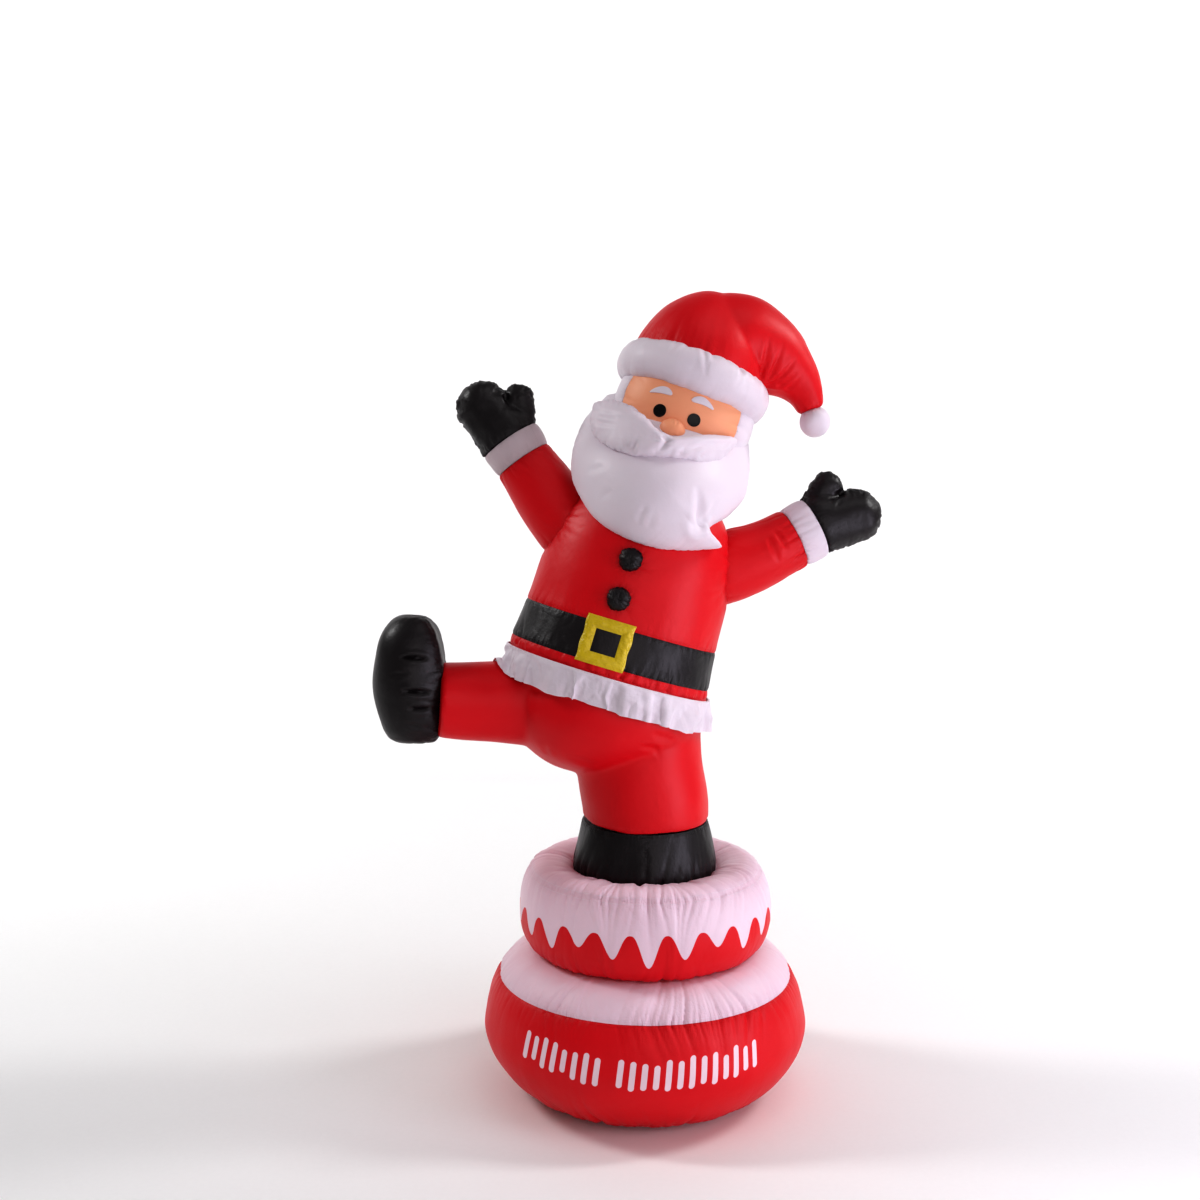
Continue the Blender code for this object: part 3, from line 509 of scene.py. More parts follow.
# each cloth's 'deep' colour is the darker tone it is mixed towards: at random, and as painted shade in the
# puckers along its seams
cloths = {
    "red": {"slot": "red_fabric", "colour": (0.70, 0.002, 0.012), "deep": (0.46, 0.001, 0.004),
            "rough": 0.44, "gloss": 0.36, "sheen": 0.04, "sheenTint": (1.0, 0.12, 0.34),
            "through": 0.0, "crinkle": 0.8},
    # the tiers' white carries a faint red glow: painted light standing in for red light bounced from the red
    # cloth
    "tierWhite": {"slot": "white_fabric", "colour": (0.74, 0.65, 0.73), "deep": (0.58, 0.38, 0.46),
                  "rough": 0.40, "gloss": 0.2, "sheen": 0.05, "sheenTint": (1.0, 0.92, 1.0),
                  "through": 0.10, "crinkle": 1.0, "paintedGlow": (0.050, 0.001, 0.002)},
    "white": {"slot": "white_fabric", "colour": (0.77, 0.70, 0.76), "deep": (0.62, 0.51, 0.58),
              "rough": 0.42, "gloss": 0.2, "sheen": 0.05, "sheenTint": (0.95, 0.93, 1.0),
              "through": 0.06, "crinkle": 0.9},
    # the cuffs' white made darker: painted shade for the left cuff, on the side away from the light
    "cuffWhiteInPaintedShade": {"slot": "white_fabric", "colour": (0.62, 0.53, 0.56), "deep": (0.46, 0.35, 0.38),
                 "rough": 0.42, "gloss": 0.2, "sheen": 0.05, "sheenTint": (0.95, 0.93, 1.0),
                 "through": 0.03, "crinkle": 0.8},
    "black": {"slot": "black_fabric", "colour": (0.010, 0.0065, 0.008), "deep": (0.004, 0.0025, 0.003),
              "rough": 0.42, "gloss": 0.46, "sheen": 0.02, "sheenTint": (0.85, 0.70, 0.82),
              "through": 0.0, "crinkle": 1.3},
    "skin": {"slot": "skin_fabric", "colour": (0.90, 0.42, 0.25), "deep": (0.76, 0.30, 0.17),
             "rough": 0.46, "gloss": 0.30, "sheen": 0.04, "sheenTint": (1.0, 0.85, 0.8),
             "through": 0.05, "crinkle": 0.5},
    "yellow": {"slot": "yellow_fabric", "colour": (0.78, 0.60, 0.02), "deep": (0.30, 0.18, 0.005),
               "rough": 0.26, "gloss": 0.5, "sheen": 0.0, "sheenTint": (1.0, 0.95, 0.7),
               "through": 0.0, "crinkle": 1.1},
    "eye": {"slot": "black_fabric", "colour": (0.004, 0.003, 0.003), "deep": (0.002, 0.0015, 0.0015),
            "rough": 0.28, "gloss": 0.4, "sheen": 0.0, "sheenTint": (1.0, 1.0, 1.0),
            "through": 0.0, "crinkle": 0.1},
}
weave = {"threads": 5200.0, "height": 0.006, "crinkleScale": 34.0, "crinkleHeight": 0.9, "rippleScale": 13.0,
         "ripple": 2.2, "tuckScale": 62.0, "tuckHeight": 1.9, "strayScale": 22.0, "stray": 0.012,
         "wornScale": 3.2}
strokes = {"start": -0.83, "pitch": 0.0695, "count": 22, "gap": 8, "middle": 0.161, "bow": 0.040,
           "half": 0.023, "halfSpread": 0.010, "width": 0.0066, "spread": 0.007, "lean": 0.10,
           "radius": 0.360, "edge": 0.0006, "colour": (0.83, 0.66, 0.72, 1)}


def tucksOf(shop, place):
    # noise read at the nearest place on the thread, so that each tuck runs straight out from its seam
    thread = shop.node("ShaderNodeAttribute", {"attribute_name": "thread"}, {}).outputs["Vector"]
    stray = shop.node("ShaderNodeTexNoise", {},
                      {"Vector": place, "Scale": weave["strayScale"], "Detail": 1.0})
    drift = shop.node("ShaderNodeVectorMath", {"operation": "SUBTRACT"},
                      {0: stray.outputs["Color"], 1: (0.5, 0.5, 0.5)})
    drift = shop.node("ShaderNodeVectorMath", {"operation": "SCALE"},
                      {0: drift.outputs[0], "Scale": weave["stray"]})
    root = shop.node("ShaderNodeVectorMath", {"operation": "ADD"}, {0: thread, 1: drift.outputs[0]})
    tuck = shop.noise(root.outputs[0], weave["tuckScale"], 2.0, 0.55)
    return (((tuck - 0.5).maths("ABSOLUTE") * 5).clipped()) ** 0.55


def nylon(name, look):
    shop = Shop(name)
    place = shop.node("ShaderNodeTexCoord", {}, {}).outputs["Object"]
    strained = shop.node("ShaderNodeAttribute", {"attribute_name": "strain"}, {}).outputs["Fac"]
    strain = Wire(shop, strained)
    split = shop.node("ShaderNodeSeparateXYZ", {}, {"Vector": place})
    x, y, z = [Wire(shop, split.outputs[k]) for k in range(3)]
    waves = [(axis * weave["threads"]).maths("SINE") for axis in (x, y, z)]
    threads = waves[0] * waves[1] + waves[1] * waves[2] + waves[2] * waves[0]
    ripple = shop.noise(place, weave["rippleScale"], 2.0)
    fine = shop.noise(place, weave["crinkleScale"], 3.0, 0.6)
    folds = (((fine - 0.5).maths("ABSOLUTE") * 4).clipped()) ** 0.6
    height = tucksOf(shop, place) * strain * strain * (weave["tuckHeight"] * look["crinkle"])
    height = height + folds * (strain * 0.8 + 0.22) * (weave["crinkleHeight"] * look["crinkle"])
    height = height + threads * weave["height"] + ripple * weave["ripple"] * look["crinkle"]
    bump = shop.node("ShaderNodeBump", {}, {"Height": height, "Distance": 0.001, "Strength": 1.0})
    worn = (shop.noise(place, weave["wornScale"], 4.0, 0.55) * 1.5 - 0.45).clipped()
    # the colour goes towards 'deep' with random worn tone, and with the seams' strain as painted shade in
    # their puckers
    wornToneAndPaintedShade = (worn * 0.30 + strain * 0.28 + threads * 0.03).clipped()
    colour = shop.mix(wornToneAndPaintedShade, (*look["colour"], 1), (*look["deep"], 1))
    if look.get("printed"):
        colour = shop.mix(strokeMask(shop, x, y, z), colour, strokes["colour"])
    rough = (ripple * 0.12 + look["rough"] - 0.06 + strain * 0.06 + threads * 0.012).clipped(0.05, 1)
    inputs = shop.shader.inputs
    shop.feed(inputs["Base Color"], colour)
    shop.feed(inputs["Roughness"], rough)
    shop.feed(inputs["Normal"], bump.outputs[0])
    # a cloth's glow is emitted light painted onto it, not a lamp
    constants = {"Sheen Weight": look["sheen"], "Sheen Roughness": 0.35,
                 "Sheen Tint": (*look["sheenTint"], 1), "Specular IOR Level": look["gloss"],
                 "Emission Color": (*look.get("paintedGlow", (0, 0, 0)), 1),
                 "Emission Strength": 1.0 if "paintedGlow" in look else 0.0, "Subsurface Weight": look["through"],
                 "Subsurface Radius": (0.05, 0.02, 0.02), "Subsurface Scale": 0.5}
    for socket, value in constants.items():
        inputs[socket].default_value = value
    look["material"] = shop.material


def strokeMask(shop, x, y, z):
    # plain printed strokes with rounded ends, in two groups round the front
    turn = x.maths("ARCTAN2", y * -1)
    place = (turn - strokes["start"]) / strokes["pitch"]
    number = place.maths("FLOOR")
    picked = shop.node("ShaderNodeTexWhiteNoise", {"noise_dimensions": "1D"}, {"W": number})
    chance = shop.node("ShaderNodeSeparateColor", {}, {"Color": picked.outputs["Color"]})
    longBy, riseBy = [Wire(shop, chance.outputs[k]) - 0.5 for k in range(2)]
    up = z - strokes["middle"] - turn * turn * strokes["bow"] - riseBy * strokes["spread"]
    across = (place - number - 0.5) * (strokes["pitch"] * strokes["radius"]) - up * strokes["lean"]
    half = longBy * strokes["halfSpread"] + strokes["half"]
    over = (up.maths("ABSOLUTE") - half).maths("MAXIMUM", 0.0)
    away = (across * across + over * over) ** 0.5
    inside = ((strokes["width"] - away) / strokes["edge"]).clipped()
    counted = number.maths("GREATER_THAN", -0.5) * number.maths("LESS_THAN", strokes["count"] - 0.5)
    besideGap = (number - strokes["gap"]).maths("ABSOLUTE").maths("GREATER_THAN", 0.5)
    return inside * counted * besideGap * (y * -1).maths("GREATER_THAN", 0.0)


cloths["redPrinted"] = {**cloths["red"], "printed": True}
for clothName, look in cloths.items():
    nylon(clothName + "Nylon", look)
print("cloths:", len(cloths))


# The two tiers of the cake

lowerTier = {"radius": 0.368, "footRadius": 0.245, "seamRadius": 0.334, "seamHeight": 0.258,
             "domeRise": 0.058, "footSeam": (0.296, 0.020), "backSeam": 80, "columns": 720}
upperTier = {"radius": 0.287, "footRadius": 0.225, "seamRadius": 0.264, "seamRise": 0.184,
             "cushionRise": 0.019, "recess": 0.167, "notchRadius": 0.238, "drips": 23, "dripColumns": 26,
             "dripStart": 0.117, "dripSharpness": 2.6, "dripLengths": (
                 0.072, 0.054, 0.037, 0.058, 0.050, 0.041, 0.056, 0.044, 0.062, 0.040, 0.054, 0.047)}


def ringAt(radius, height, columns=240, flat=1.0):
    angle = roundAngles(columns)
    return np.stack([radius * np.cos(angle), radius * flat * np.sin(angle), height + 0 * angle], -1)


def buildLowerTier():
    t = lowerTier
    bulge, tuck, height = t["radius"] - t["footRadius"], t["radius"] - t["seamRadius"], t["seamHeight"]
    footSteps = ((0, 0), (0.30, 0.045), (0.58, 0.15), (0.80, 0.28), (0.945, 0.42))
    sideSteps = ((0, 0.55), (0.10, 0.68), (0.36, 0.83), (0.66, 0.92), (1.0, 1.0))
    foot = [(t["footRadius"] + bulge * a, height * b) for a, b in footSteps]
    side = [(t["radius"] - tuck * a, height * b) for a, b in sideSteps]
    outline = profile(foot + side)
    topSeam = ringAt(t["seamRadius"], height)
    back = math.radians(t["backSeam"])
    upright = [(r * math.cos(back), r * math.sin(back), z) for r, z in outline[::3]]
    seams = [seam(topSeam, spacing=0.015, height=0.0012, reach=0.026, seed=3, pinch=0.003),
             seam(ringAt(*t["footSeam"]), spacing=0.019, height=0.0015, reach=0.026, seed=8, pinch=0.002),
             seam(upright, closed=False, spacing=0.024, height=0.0008, reach=0.020, pinch=0.0022, seed=12)]
    sewn("lowerTierSide", turned(outline, t["columns"]), "redPrinted", ["lower_tier"], seams=seams,
         floor=0.0)
    shoulder = t["seamRadius"] - upperTier["footRadius"]
    steps = ((0, 0.006), (0.15, 0.42), (0.38, 0.78), (0.68, 0.97), (1.0, 0.995), (1.08, 0.99))
    dome = [(t["seamRadius"] - shoulder * a, height + t["domeRise"] * b) for a, b in steps]
    seams = [seam(topSeam, spacing=0.015, height=0.0014, reach=0.034, seed=3, pinch=0.003),
             seam(ringAt(upperTier["footRadius"], height + t["domeRise"]), spacing=0.03, height=0.0008,
                  reach=0.02, pinch=0.003, pinchWidth=0.012, seed=4)]
    sewn("lowerTierTop", turned(profile(dome), t["columns"]), "tierWhite", ["lower_tier_top"], seams=seams)


def upperSide(rise):
    t = upperTier
    top, bulge, tuck = t["seamRise"], t["radius"] - t["footRadius"], t["radius"] - t["seamRadius"]
    rows = ((0, t["footRadius"]), (0.05 * top, t["footRadius"] + 0.5 * bulge),
            (0.22 * top, t["footRadius"] + 0.86 * bulge), (0.48 * top, t["radius"]),
            (0.78 * top, t["radius"] - 0.28 * tuck), (top, t["seamRadius"]))
    return onCurve(rows, rise)[..., 0]


def dripLine():
    # height of the icing's edge above the tier's foot, at each column round it
    t = upperTier
    drips = np.arange(t["drips"] * t["dripColumns"]) / t["dripColumns"]
    drip = np.floor(drips).astype(int)
    lengths = np.array(t["dripLengths"])[np.minimum(drip, t["drips"] - drip) % len(t["dripLengths"])]
    return t["dripStart"] - lengths * np.sin(math.pi * (drips - drip)) ** t["dripSharpness"]


def buildUpperTier():
    t = upperTier
    foot = lowerTier["seamHeight"] + lowerTier["domeRise"]
    line = dripLine()
    angle = roundAngles(len(line), -math.pi / 2 - math.pi / t["drips"])
    around = np.stack([np.cos(angle), np.sin(angle)], -1)

    def wall(rises):
        return np.concatenate([around * upperSide(rises)[..., None], (foot + rises)[..., None]], -1)

    seams = [seam(ringAt(t["seamRadius"], foot + t["seamRise"]), spacing=0.016, height=0.0016, reach=0.034,
                  seed=21, pinch=0.0042, pinchWidth=0.006),
             seam(ringAt(t["footRadius"] + 0.02, foot + 0.006), spacing=0.017, height=0.0012, reach=0.024,
                  seed=25, pinch=0.002)]
    side = {"seams": seams, "wave": 0.0008, "seed": 31}
    share = np.linspace(0, 1, 22)[:, None]
    sewn("upperTierSide", wall(share * line), "red", ["upper_tier"], **side)

    top = np.linspace(0, 1, 28)[:, None]
    icing = wall(line + (t["seamRise"] - line) * top)
    rim = t["seamRadius"] - t["recess"]
    steps = ((1.0, 0.0), (0.86, 0.62), (0.64, 1.0), (0.40, 0.92), (0.20, 0.66), (0.04, 0.30), (-0.05, -0.05))
    crown = [(t["recess"] + rim * a, t["seamRise"] + t["cushionRise"] * b) for a, b in steps]
    outline = profile(crown)[1:]
    heights = foot + outline[:, None, 1:] + 0 * around[..., :1]
    cushion = np.concatenate([around * outline[:, None, :1], heights], -1)
    boot = seam(ringAt(t["recess"], foot + t["seamRise"]), spacing=0.024, height=0.0019, reach=0.032, seed=27,
                pinch=0.0015, pinchWidth=0.010)
    # folds that run out from the boot's hollow: where each is, in degrees, and how deep
    notches = ((-96, 0.006), (-62, 0.004), (-128, 0.004), (-20, 0.004), (25, 0.004), (70, 0.004),
               (118, 0.005), (165, 0.004), (205, 0.004))
    high = foot + t["seamRise"] + t["cushionRise"]
    rows = []
    for degrees, depth in notches:
        a, b = math.radians(degrees), math.radians(degrees + 2)
        rows.append(((t["recess"] * math.cos(a), t["recess"] * math.sin(a), high),
                     (t["notchRadius"] * math.cos(b), t["notchRadius"] * math.sin(b), high), depth, 0.007))
    side.update(seams=seams + [boot], creases=creasesOf(rows, root=True))
    sewn("icing", np.concatenate([icing, cushion]), "tierWhite", ["upper_tier_icing"], **side)


buildLowerTier()
buildUpperTier()

# Legs, boots and the seat of the trousers

legs = {"soleRadius": 0.163, "topRadius": 0.142, "bootHeight": 0.118, "frontSeam": -91, "legRadius": 0.143,
        "seatDrop": 0.082, "seatHalf": (0.226, 0.205, 0.158), "collarDrop": 0.090, "voxel": 0.0055,
        "kickRoot": 0.110, "kickEndRadius": 0.084, "kickEnd": (-0.452, -0.030, 0.397), "kickLength": 0.286,
        "kickHalfWidth": 0.086, "kickHalfDepth": 0.088, "kickRise": 0.048}
trunk = {"flat": 0.90, "hemRadius": 0.232, "waistRadius": 0.222, "chestRadius": 0.216, "hem": 0.020,
         "belt": 0.086, "neck": 0.475, "columns": 330}


def trunkRadius(rise):
    t = trunk
    waist = t["hem"] + t["belt"]
    chest, full = t["neck"] - waist, t["chestRadius"]
    rows = ((0.0, t["hemRadius"]), (t["hem"], t["hemRadius"] - 0.001), (waist, t["waistRadius"]),
            (waist + 0.31 * chest, full), (waist + 0.56 * chest, full * 0.93),
            (waist + 0.76 * chest, full * 0.75), (waist + 0.92 * chest, full * 0.44),
            (t["neck"], full * 0.12))
    return onCurve(rows, rise)[..., 0]


def trunkRing(rise, radius, columns):
    return ringAt(radius, rise, columns, trunk["flat"])


def ellipsoid(centre, half, columns, rows):
    angle = np.linspace(-math.pi / 2, math.pi / 2, rows)[:, None]
    around = roundAngles(columns)
    size = np.maximum(np.cos(angle), 1e-5)
    across, up = half[0] * size * np.cos(around), half[2] * size * np.sin(around)
    return np.stack([across, half[1] * np.sin(angle) + 0 * around, up], -1) + np.array(centre)


def buildStandingBoot():
    flare = legs["soleRadius"] - legs["topRadius"]
    steps = ((0.65, 0.003), (0.93, 0.05), (1.0, 0.13), (0.86, 0.35), (0.42, 0.70), (0.0, 0.99))
    outline = profile([(legs["topRadius"] + flare * a, legs["bootHeight"] * b) for a, b in steps], 0.0036)
    front = math.radians(legs["frontSeam"])
    upright = [(r * math.cos(front), r * math.sin(front), z) for r, z in outline[::2]]
    seams = [seam(ringAt(legs["soleRadius"] - 0.002, 0.012), spacing=0.020, height=0.0022, reach=0.020,
                  seed=41, pinch=0.003, pinchWidth=0.006),
             seam(ringAt(legs["topRadius"], legs["bootHeight"]), spacing=0.022, height=0.0006, reach=0.012,
                  seed=42, pinch=0.002),
             seam(upright, closed=False, spacing=0.02, height=0.0004, reach=0.012, pinch=0.0016, seed=43)]
    sewn("standingBoot", turned(outline, 260), "black", ["standing_boot"], figureSpace, seams=seams,
         wave=0.0012, waveSize=0.07, seed=44)


def buildTrousers():
    hips = np.array(stance["hips"])
    root = hips - (0, 0, legs["seatDrop"])
    seat = ellipsoid(root, legs["seatHalf"], 120, 60)
    drop = legs["collarDrop"]
    collar = [trunkRing(rise, trunkRadius(0) * size, 120)
              for rise, size in ((0.2 * drop, 1.0), (-0.35 * drop, 0.98), (-0.7 * drop, 0.92), (-drop, 0.80))]
    top = stance["hips"][2] - legs["seatDrop"]
    x, y = stance["hips"][:2]
    rows = ((0, 0, 0, legs["bootHeight"]), (1, 0, 0, legs["bootHeight"] + 0.1 * top),
            (2, 0.17 * x, 0.3 * y, 0.66 * top), (3, 0.25 * x, 0.7 * y, top))
    path = evenly(onCurve(rows, np.linspace(0, 3, 60)), 0.01)
    leg = tube(path, np.full(len(path), legs["legRadius"]), 120)
    end = np.array(legs["kickEnd"])
    share = np.linspace(0, 1.03, 40)
    kick = tube(root + (end - root) * share[:, None],
                legs["kickRoot"] + (legs["kickEndRadius"] - legs["kickRoot"]) * share, 100)
    grids = [placed(g, figureSpace) for g in (seat, leg, kick)] + [placed(collar, trunkSpace)]
    plane = (trunkSpace @ Vector((0, 0, 0.002)), trunkSpace.to_3x3() @ Vector((0, 0, 1)))
    ankle = (figureSpace @ Vector((0, 0, legs["bootHeight"] + 0.0004)), Vector((0, 0, -1)))
    whole = fused("trouserLegs", grids, legs["voxel"], 9, [plane, ankle])
    ankleSeam = seam(ringAt(legs["legRadius"], legs["bootHeight"]), spacing=0.022, height=0.0006, reach=0.014,
                     pinch=0.003, seed=51)
    # folds at the crotch, the hip and the seat's back: start, end, depth and width
    folds = creasesOf((
        ((0.010, -0.160, 0.345), (0.078, -0.125, 0.310), 0.0035, 0.007),
        ((-0.020, -0.160, 0.318), (0.040, -0.145, 0.290), 0.0030, 0.006),
        ((0.030, -0.160, 0.372), (0.100, -0.110, 0.352), 0.0025, 0.006),
        ((-0.230, -0.130, 0.300), (-0.245, -0.105, 0.262), 0.002, 0.009),
        ((-0.190, -0.150, 0.262), (-0.110, -0.160, 0.238), 0.0012, 0.010),
        ((0.100, 0.120, 0.330), (0.020, 0.170, 0.300), 0.005, 0.010),
        ((-0.060, 0.200, 0.290), (-0.160, 0.190, 0.275), 0.005, 0.010),
        ((-0.120, 0.170, 0.240), (-0.060, 0.150, 0.215), 0.005, 0.009),
        ((-0.240, 0.110, 0.310), (-0.250, 0.100, 0.265), 0.005, 0.009)))
    dressFused(whole, "red", ["trousers"], figureSpace, seams=[ankleSeam], creases=folds, wave=0.0011,
               waveSize=0.12, seed=55)


def buildKickingBoot():
    width, depth, half = legs["kickHalfWidth"], legs["kickHalfDepth"], legs["kickLength"] / 2
    middle = np.array(legs["kickEnd"]) + (-0.82 * width, 0, legs["kickRise"])
    rows = ((-1.0, 0.02), (-0.98, 0.45), (-0.86, 0.70), (-0.62, 0.86), (-0.30, 0.97), (0.05, 1.0),
            (0.38, 0.94), (0.66, 0.82), (0.86, 0.62), (0.98, 0.34), (1.0, 0.02))
    stations = np.linspace(-1, 1, 400)
    outline = evenly(np.stack([onCurve(rows, stations)[:, 0] * width, stations * half], 1), 0.0036)
    size, along = outline[:, :1] / width, outline[:, 1:]
    angle = roundAngles(170)
    # the side that the leg is sewn to is flatter, and its ends fuller
    c = np.cos(angle)
    c = np.where(c > 0.78, 0.78 + 0.08 * np.tanh((c - 0.78) / 0.08), c)
    reach = size + (1 - size) * np.where(along > 0, 0.1, 0.4) * np.clip(c * 4, 0, 1)
    reach = np.where(size > 0.3, reach, size)
    grid = np.stack([c * reach * width, np.sin(angle) * size * depth, along + 0 * angle], -1) + middle
    edge = np.array([(0.80 * width * s, 0.60 * depth * s * k, a) for k in (1, -1) for s, a in
                     outline[::4 * k] / (width, 1)]) + middle
    x, z = middle[0], middle[2]
    # tucks in front and behind: start and end, across and up from the boot's middle, then depth and width
    tucks = creasesOf([((x + a, b, z + c), (x + d, e, z + f), *size) for a, b, c, d, e, f, *size in (
        (-0.020, -0.118, 0.062, 0.056, -0.112, 0.058, 0.0075, 0.0050),
        (-0.016, -0.120, -0.012, 0.060, -0.112, -0.020, 0.0080, 0.0055),
        (-0.004, -0.112, -0.052, 0.052, -0.105, -0.056, 0.0060, 0.0050),
        (-0.040, -0.110, 0.022, 0.010, -0.118, 0.026, 0.0022, 0.0050),
        (-0.010, -0.110, -0.086, 0.030, -0.100, -0.100, 0.0030, 0.0050),
        (-0.020, 0.060, 0.060, 0.056, 0.056, 0.056, 0.0070, 0.0050),
        (-0.016, 0.060, -0.014, 0.060, 0.056, -0.020, 0.0070, 0.0055),
        (-0.004, 0.056, -0.054, 0.052, 0.050, -0.060, 0.0060, 0.0050))])
    seams = [seam(edge, spacing=0.020, height=0.0010, reach=0.018, pinch=0.0020, seed=61)]
    sewn("kickingBoot", grid, "black", ["kicking_boot"], figureSpace, seams=seams, creases=tucks, wave=0.0014,
         waveSize=0.075, seed=63)


buildStandingBoot()
buildTrousers()
buildKickingBoot()

# Jacket, belt and what is sewn on them

front = math.radians(stance["frontTurn"])
buttons = {"radius": 0.025, "bulge": 0.020, "rises": (0.165, 0.253)}
buckle = {"width": 0.108, "height": 0.104, "border": 0.026, "rise": 0.004, "cells": 62, "thickness": 0.0014}


def trunkPoint(sideways, rise, out=0.0):
    # a place on the trunk's front, or off it, and the way the cloth faces there
    a = trunkRadius(rise)
    b = a * trunk["flat"]
    angle = front + sideways / a
    face = np.stack([np.sin(angle) / a, -np.cos(angle) / b, 0 * angle], -1)
    face /= np.linalg.norm(face, axis=-1, keepdims=True)
    place = np.stack([a * np.sin(angle), -b * np.cos(angle), rise + 0 * angle], -1)
    return place + face * out, face


def circleOn(centre, face, radius):
    # a circle about a place, square to the way it faces
    side = np.cross(face, (0, 0, 1.0))
    side /= np.linalg.norm(side)
    up = np.cross(side, face)
    angle = roundAngles(60)
    return centre + radius * (np.outer(np.cos(angle), side) + np.outer(np.sin(angle), up))


def trunkSlice(name, start, end, cloth, node, **folds):
    rises = np.linspace(start, end, max(4, round((end - start) / cell)))
    outline = evenly(np.stack([trunkRadius(rises), rises], 1), cell)
    sewn(name, turned(outline, trunk["columns"], trunk["flat"]), cloth, [node], trunkSpace, **folds)


def armholeOf(grid):
    # where a sleeve's grid comes out of the jacket
    local = placed(placed(grid, figureSpace), trunkSpace.inverted())
    radius = trunkRadius(np.clip(local[..., 2], 0, trunk["neck"]))
    outside = np.hypot(local[..., 0], local[..., 1] / trunk["flat"]) > radius
    inside = ~outside | (local[..., 2] > trunk["neck"])
    row = grid.shape[0] - 1 - np.argmax(inside[::-1], axis=0)
    return placed([local[r, c] for c, r in enumerate(row)], trunkSpace)


def buildTrunk(armholes):
    waist = trunk["hem"] + trunk["belt"]
    lines = [trunkRing(rise, trunkRadius(rise), 240) for rise in (0.0, trunk["hem"], waist)]
    seams = [seam(lines[0], spacing=0.017, height=0.0012, reach=0.016, seed=71, pinch=0.0024),
             seam(lines[1], spacing=0.013, height=0.0010, reach=0.014, seed=72, pinch=0.0022),
             seam(lines[2], spacing=0.011, height=0.0010, reach=0.013, seed=73, pinch=0.0024)]
    trunkSlice("jacketHem", 0.0004, trunk["hem"] - 0.0002, "red", "jacket_hem", seams=seams, crinkle=0.0016,
               crinkleSize=0.030, seed=75)
    trunkSlice("beltBand", trunk["hem"] + 0.0002, waist - 0.0002, "black", "belt", seams=seams, seed=76)
    pinned = []
    for k, rise in enumerate(buttons["rises"]):
        place, face = trunkPoint(0.0, rise)
        pinned.append(seam(circleOn(place, face, buttons["radius"] + 0.001), spacing=0.010, height=0.0007,
                           reach=0.013, seed=80 + k, pinch=0.0016, even=0.6))
    inverse = trunkSpace.inverted()
    sleeved = [seam(placed(line, inverse), spacing=0.020, height=0.0010, reach=0.020, seed=85 + k,
                    pinch=0.0028, pinchWidth=0.006) for k, line in enumerate(armholes)]
    trunkSlice("jacketBody", waist, trunk["neck"], "red", "jacket", seams=seams + pinned + sleeved,
               wave=0.0010, waveSize=0.13, seed=77)


def buildButtons():
    for name, rise in zip(("lower", "upper"), buttons["rises"]):
        place, face = trunkPoint(0.0, rise)
        steps = ((0.86, -0.36), (1.0, -0.05), (0.99, 0.32), (0.80, 0.74), (0.42, 0.95), (0.02, 1.0))
        outline = profile([(buttons["radius"] * a, buttons["bulge"] * b) for a, b in steps], 0.0011)
        turn = Vector(face).to_track_quat("Z", "Y").to_matrix().to_4x4()
        space = trunkSpace @ Matrix.Translation(place) @ turn
        rim = [seam(ringAt(buttons["radius"], 0.002, 90), spacing=0.0085, height=0.0010, reach=0.009, seed=91,
                    pinch=0.0006, pinchWidth=0.002, even=0.7),
               seam(ringAt(0.45 * buttons["radius"], buttons["bulge"], 60), spacing=0.012, height=0.0004,
                    reach=0.008, seed=93, pinch=0.0, even=0.7)]
        sewn(name + "Button", turned(outline, 110), "black", [name + "_button"], space, seams=rim,
             wave=0.0005, waveSize=0.02, seed=95)


def buildBuckle():
    # a crinkled square of cloth with a window that shows the belt
    b, count = buckle, buckle["cells"]
    shares = np.linspace(-0.5, 0.5, count + 1)
    xs, zs = shares * b["width"], shares * b["height"]
    across, up = np.meshgrid(xs, zs)
    middle = trunk["hem"] + trunk["belt"] / 2 + b["rise"]
    wobble = 0.0012 * np.sin(up * 130) + 0.0008 * np.sin(across * 170 + 1)
    place, face = trunkPoint(across + wobble * (np.abs(across) > 0.4 * b["width"]), middle + up)
    flat = place.reshape(-1, 3)
    holeWidth, holeHeight = b["width"] / 2 - b["border"], b["height"] / 2 - b["border"]
    edge = np.minimum(b["width"] / 2 - np.abs(across), b["height"] / 2 - np.abs(up))
    hole = np.maximum(np.abs(across) - holeWidth, np.abs(up) - holeHeight)
    band = np.minimum(edge, hole).ravel()
    puff = 0.0042 * np.sin(math.pi * np.clip(band / b["border"] * 2, 0, 1) / 2)
    relief = 0.0012 + puff + 0.0016 * crumple(flat, 0.024, 15) * np.clip(band / 0.006, 0.15, 1)
    flat = flat + face.reshape(-1, 3) * relief[:, None]
    keep = [(r, c) for r in range(count) for c in range(count)
            if not (abs(xs[c] + xs[c + 1]) / 2 < holeWidth and abs(zs[r] + zs[r + 1]) / 2 < holeHeight)]
    wide = count + 1
    faces = [(r * wide + c, r * wide + c + 1, (r + 1) * wide + c + 1, (r + 1) * wide + c) for r, c in keep]
    mesh = bpy.data.meshes.new("buckle")
    mesh.from_pydata(placed(flat, trunkSpace).tolist(), [], faces)
    bm = bmesh.new()
    bm.from_mesh(mesh)
    bmesh.ops.delete(bm, geom=[v for v in bm.verts if not v.link_faces], context="VERTS")
    bmesh.ops.recalc_face_normals(bm, faces=bm.faces)
    outward = trunkSpace.to_3x3() @ Vector((math.sin(front), -math.cos(front), 0))
    if sum(f.normal.dot(outward) for f in bm.faces) < 0:
        bmesh.ops.reverse_faces(bm, faces=bm.faces)
    bm.to_mesh(mesh)
    bm.free()
    thing = linked("buckleForm", mesh)
    solid = thing.modifiers.new("solid", "SOLIDIFY")
    solid.thickness, solid.offset = b["thickness"], -1.0
    whole = evaluated(thing, "bucklePatch")
    evenStrain(whole.data, 0.6)
    finishPiece(whole, "yellow", ["buckle"])


# Arms and mittens

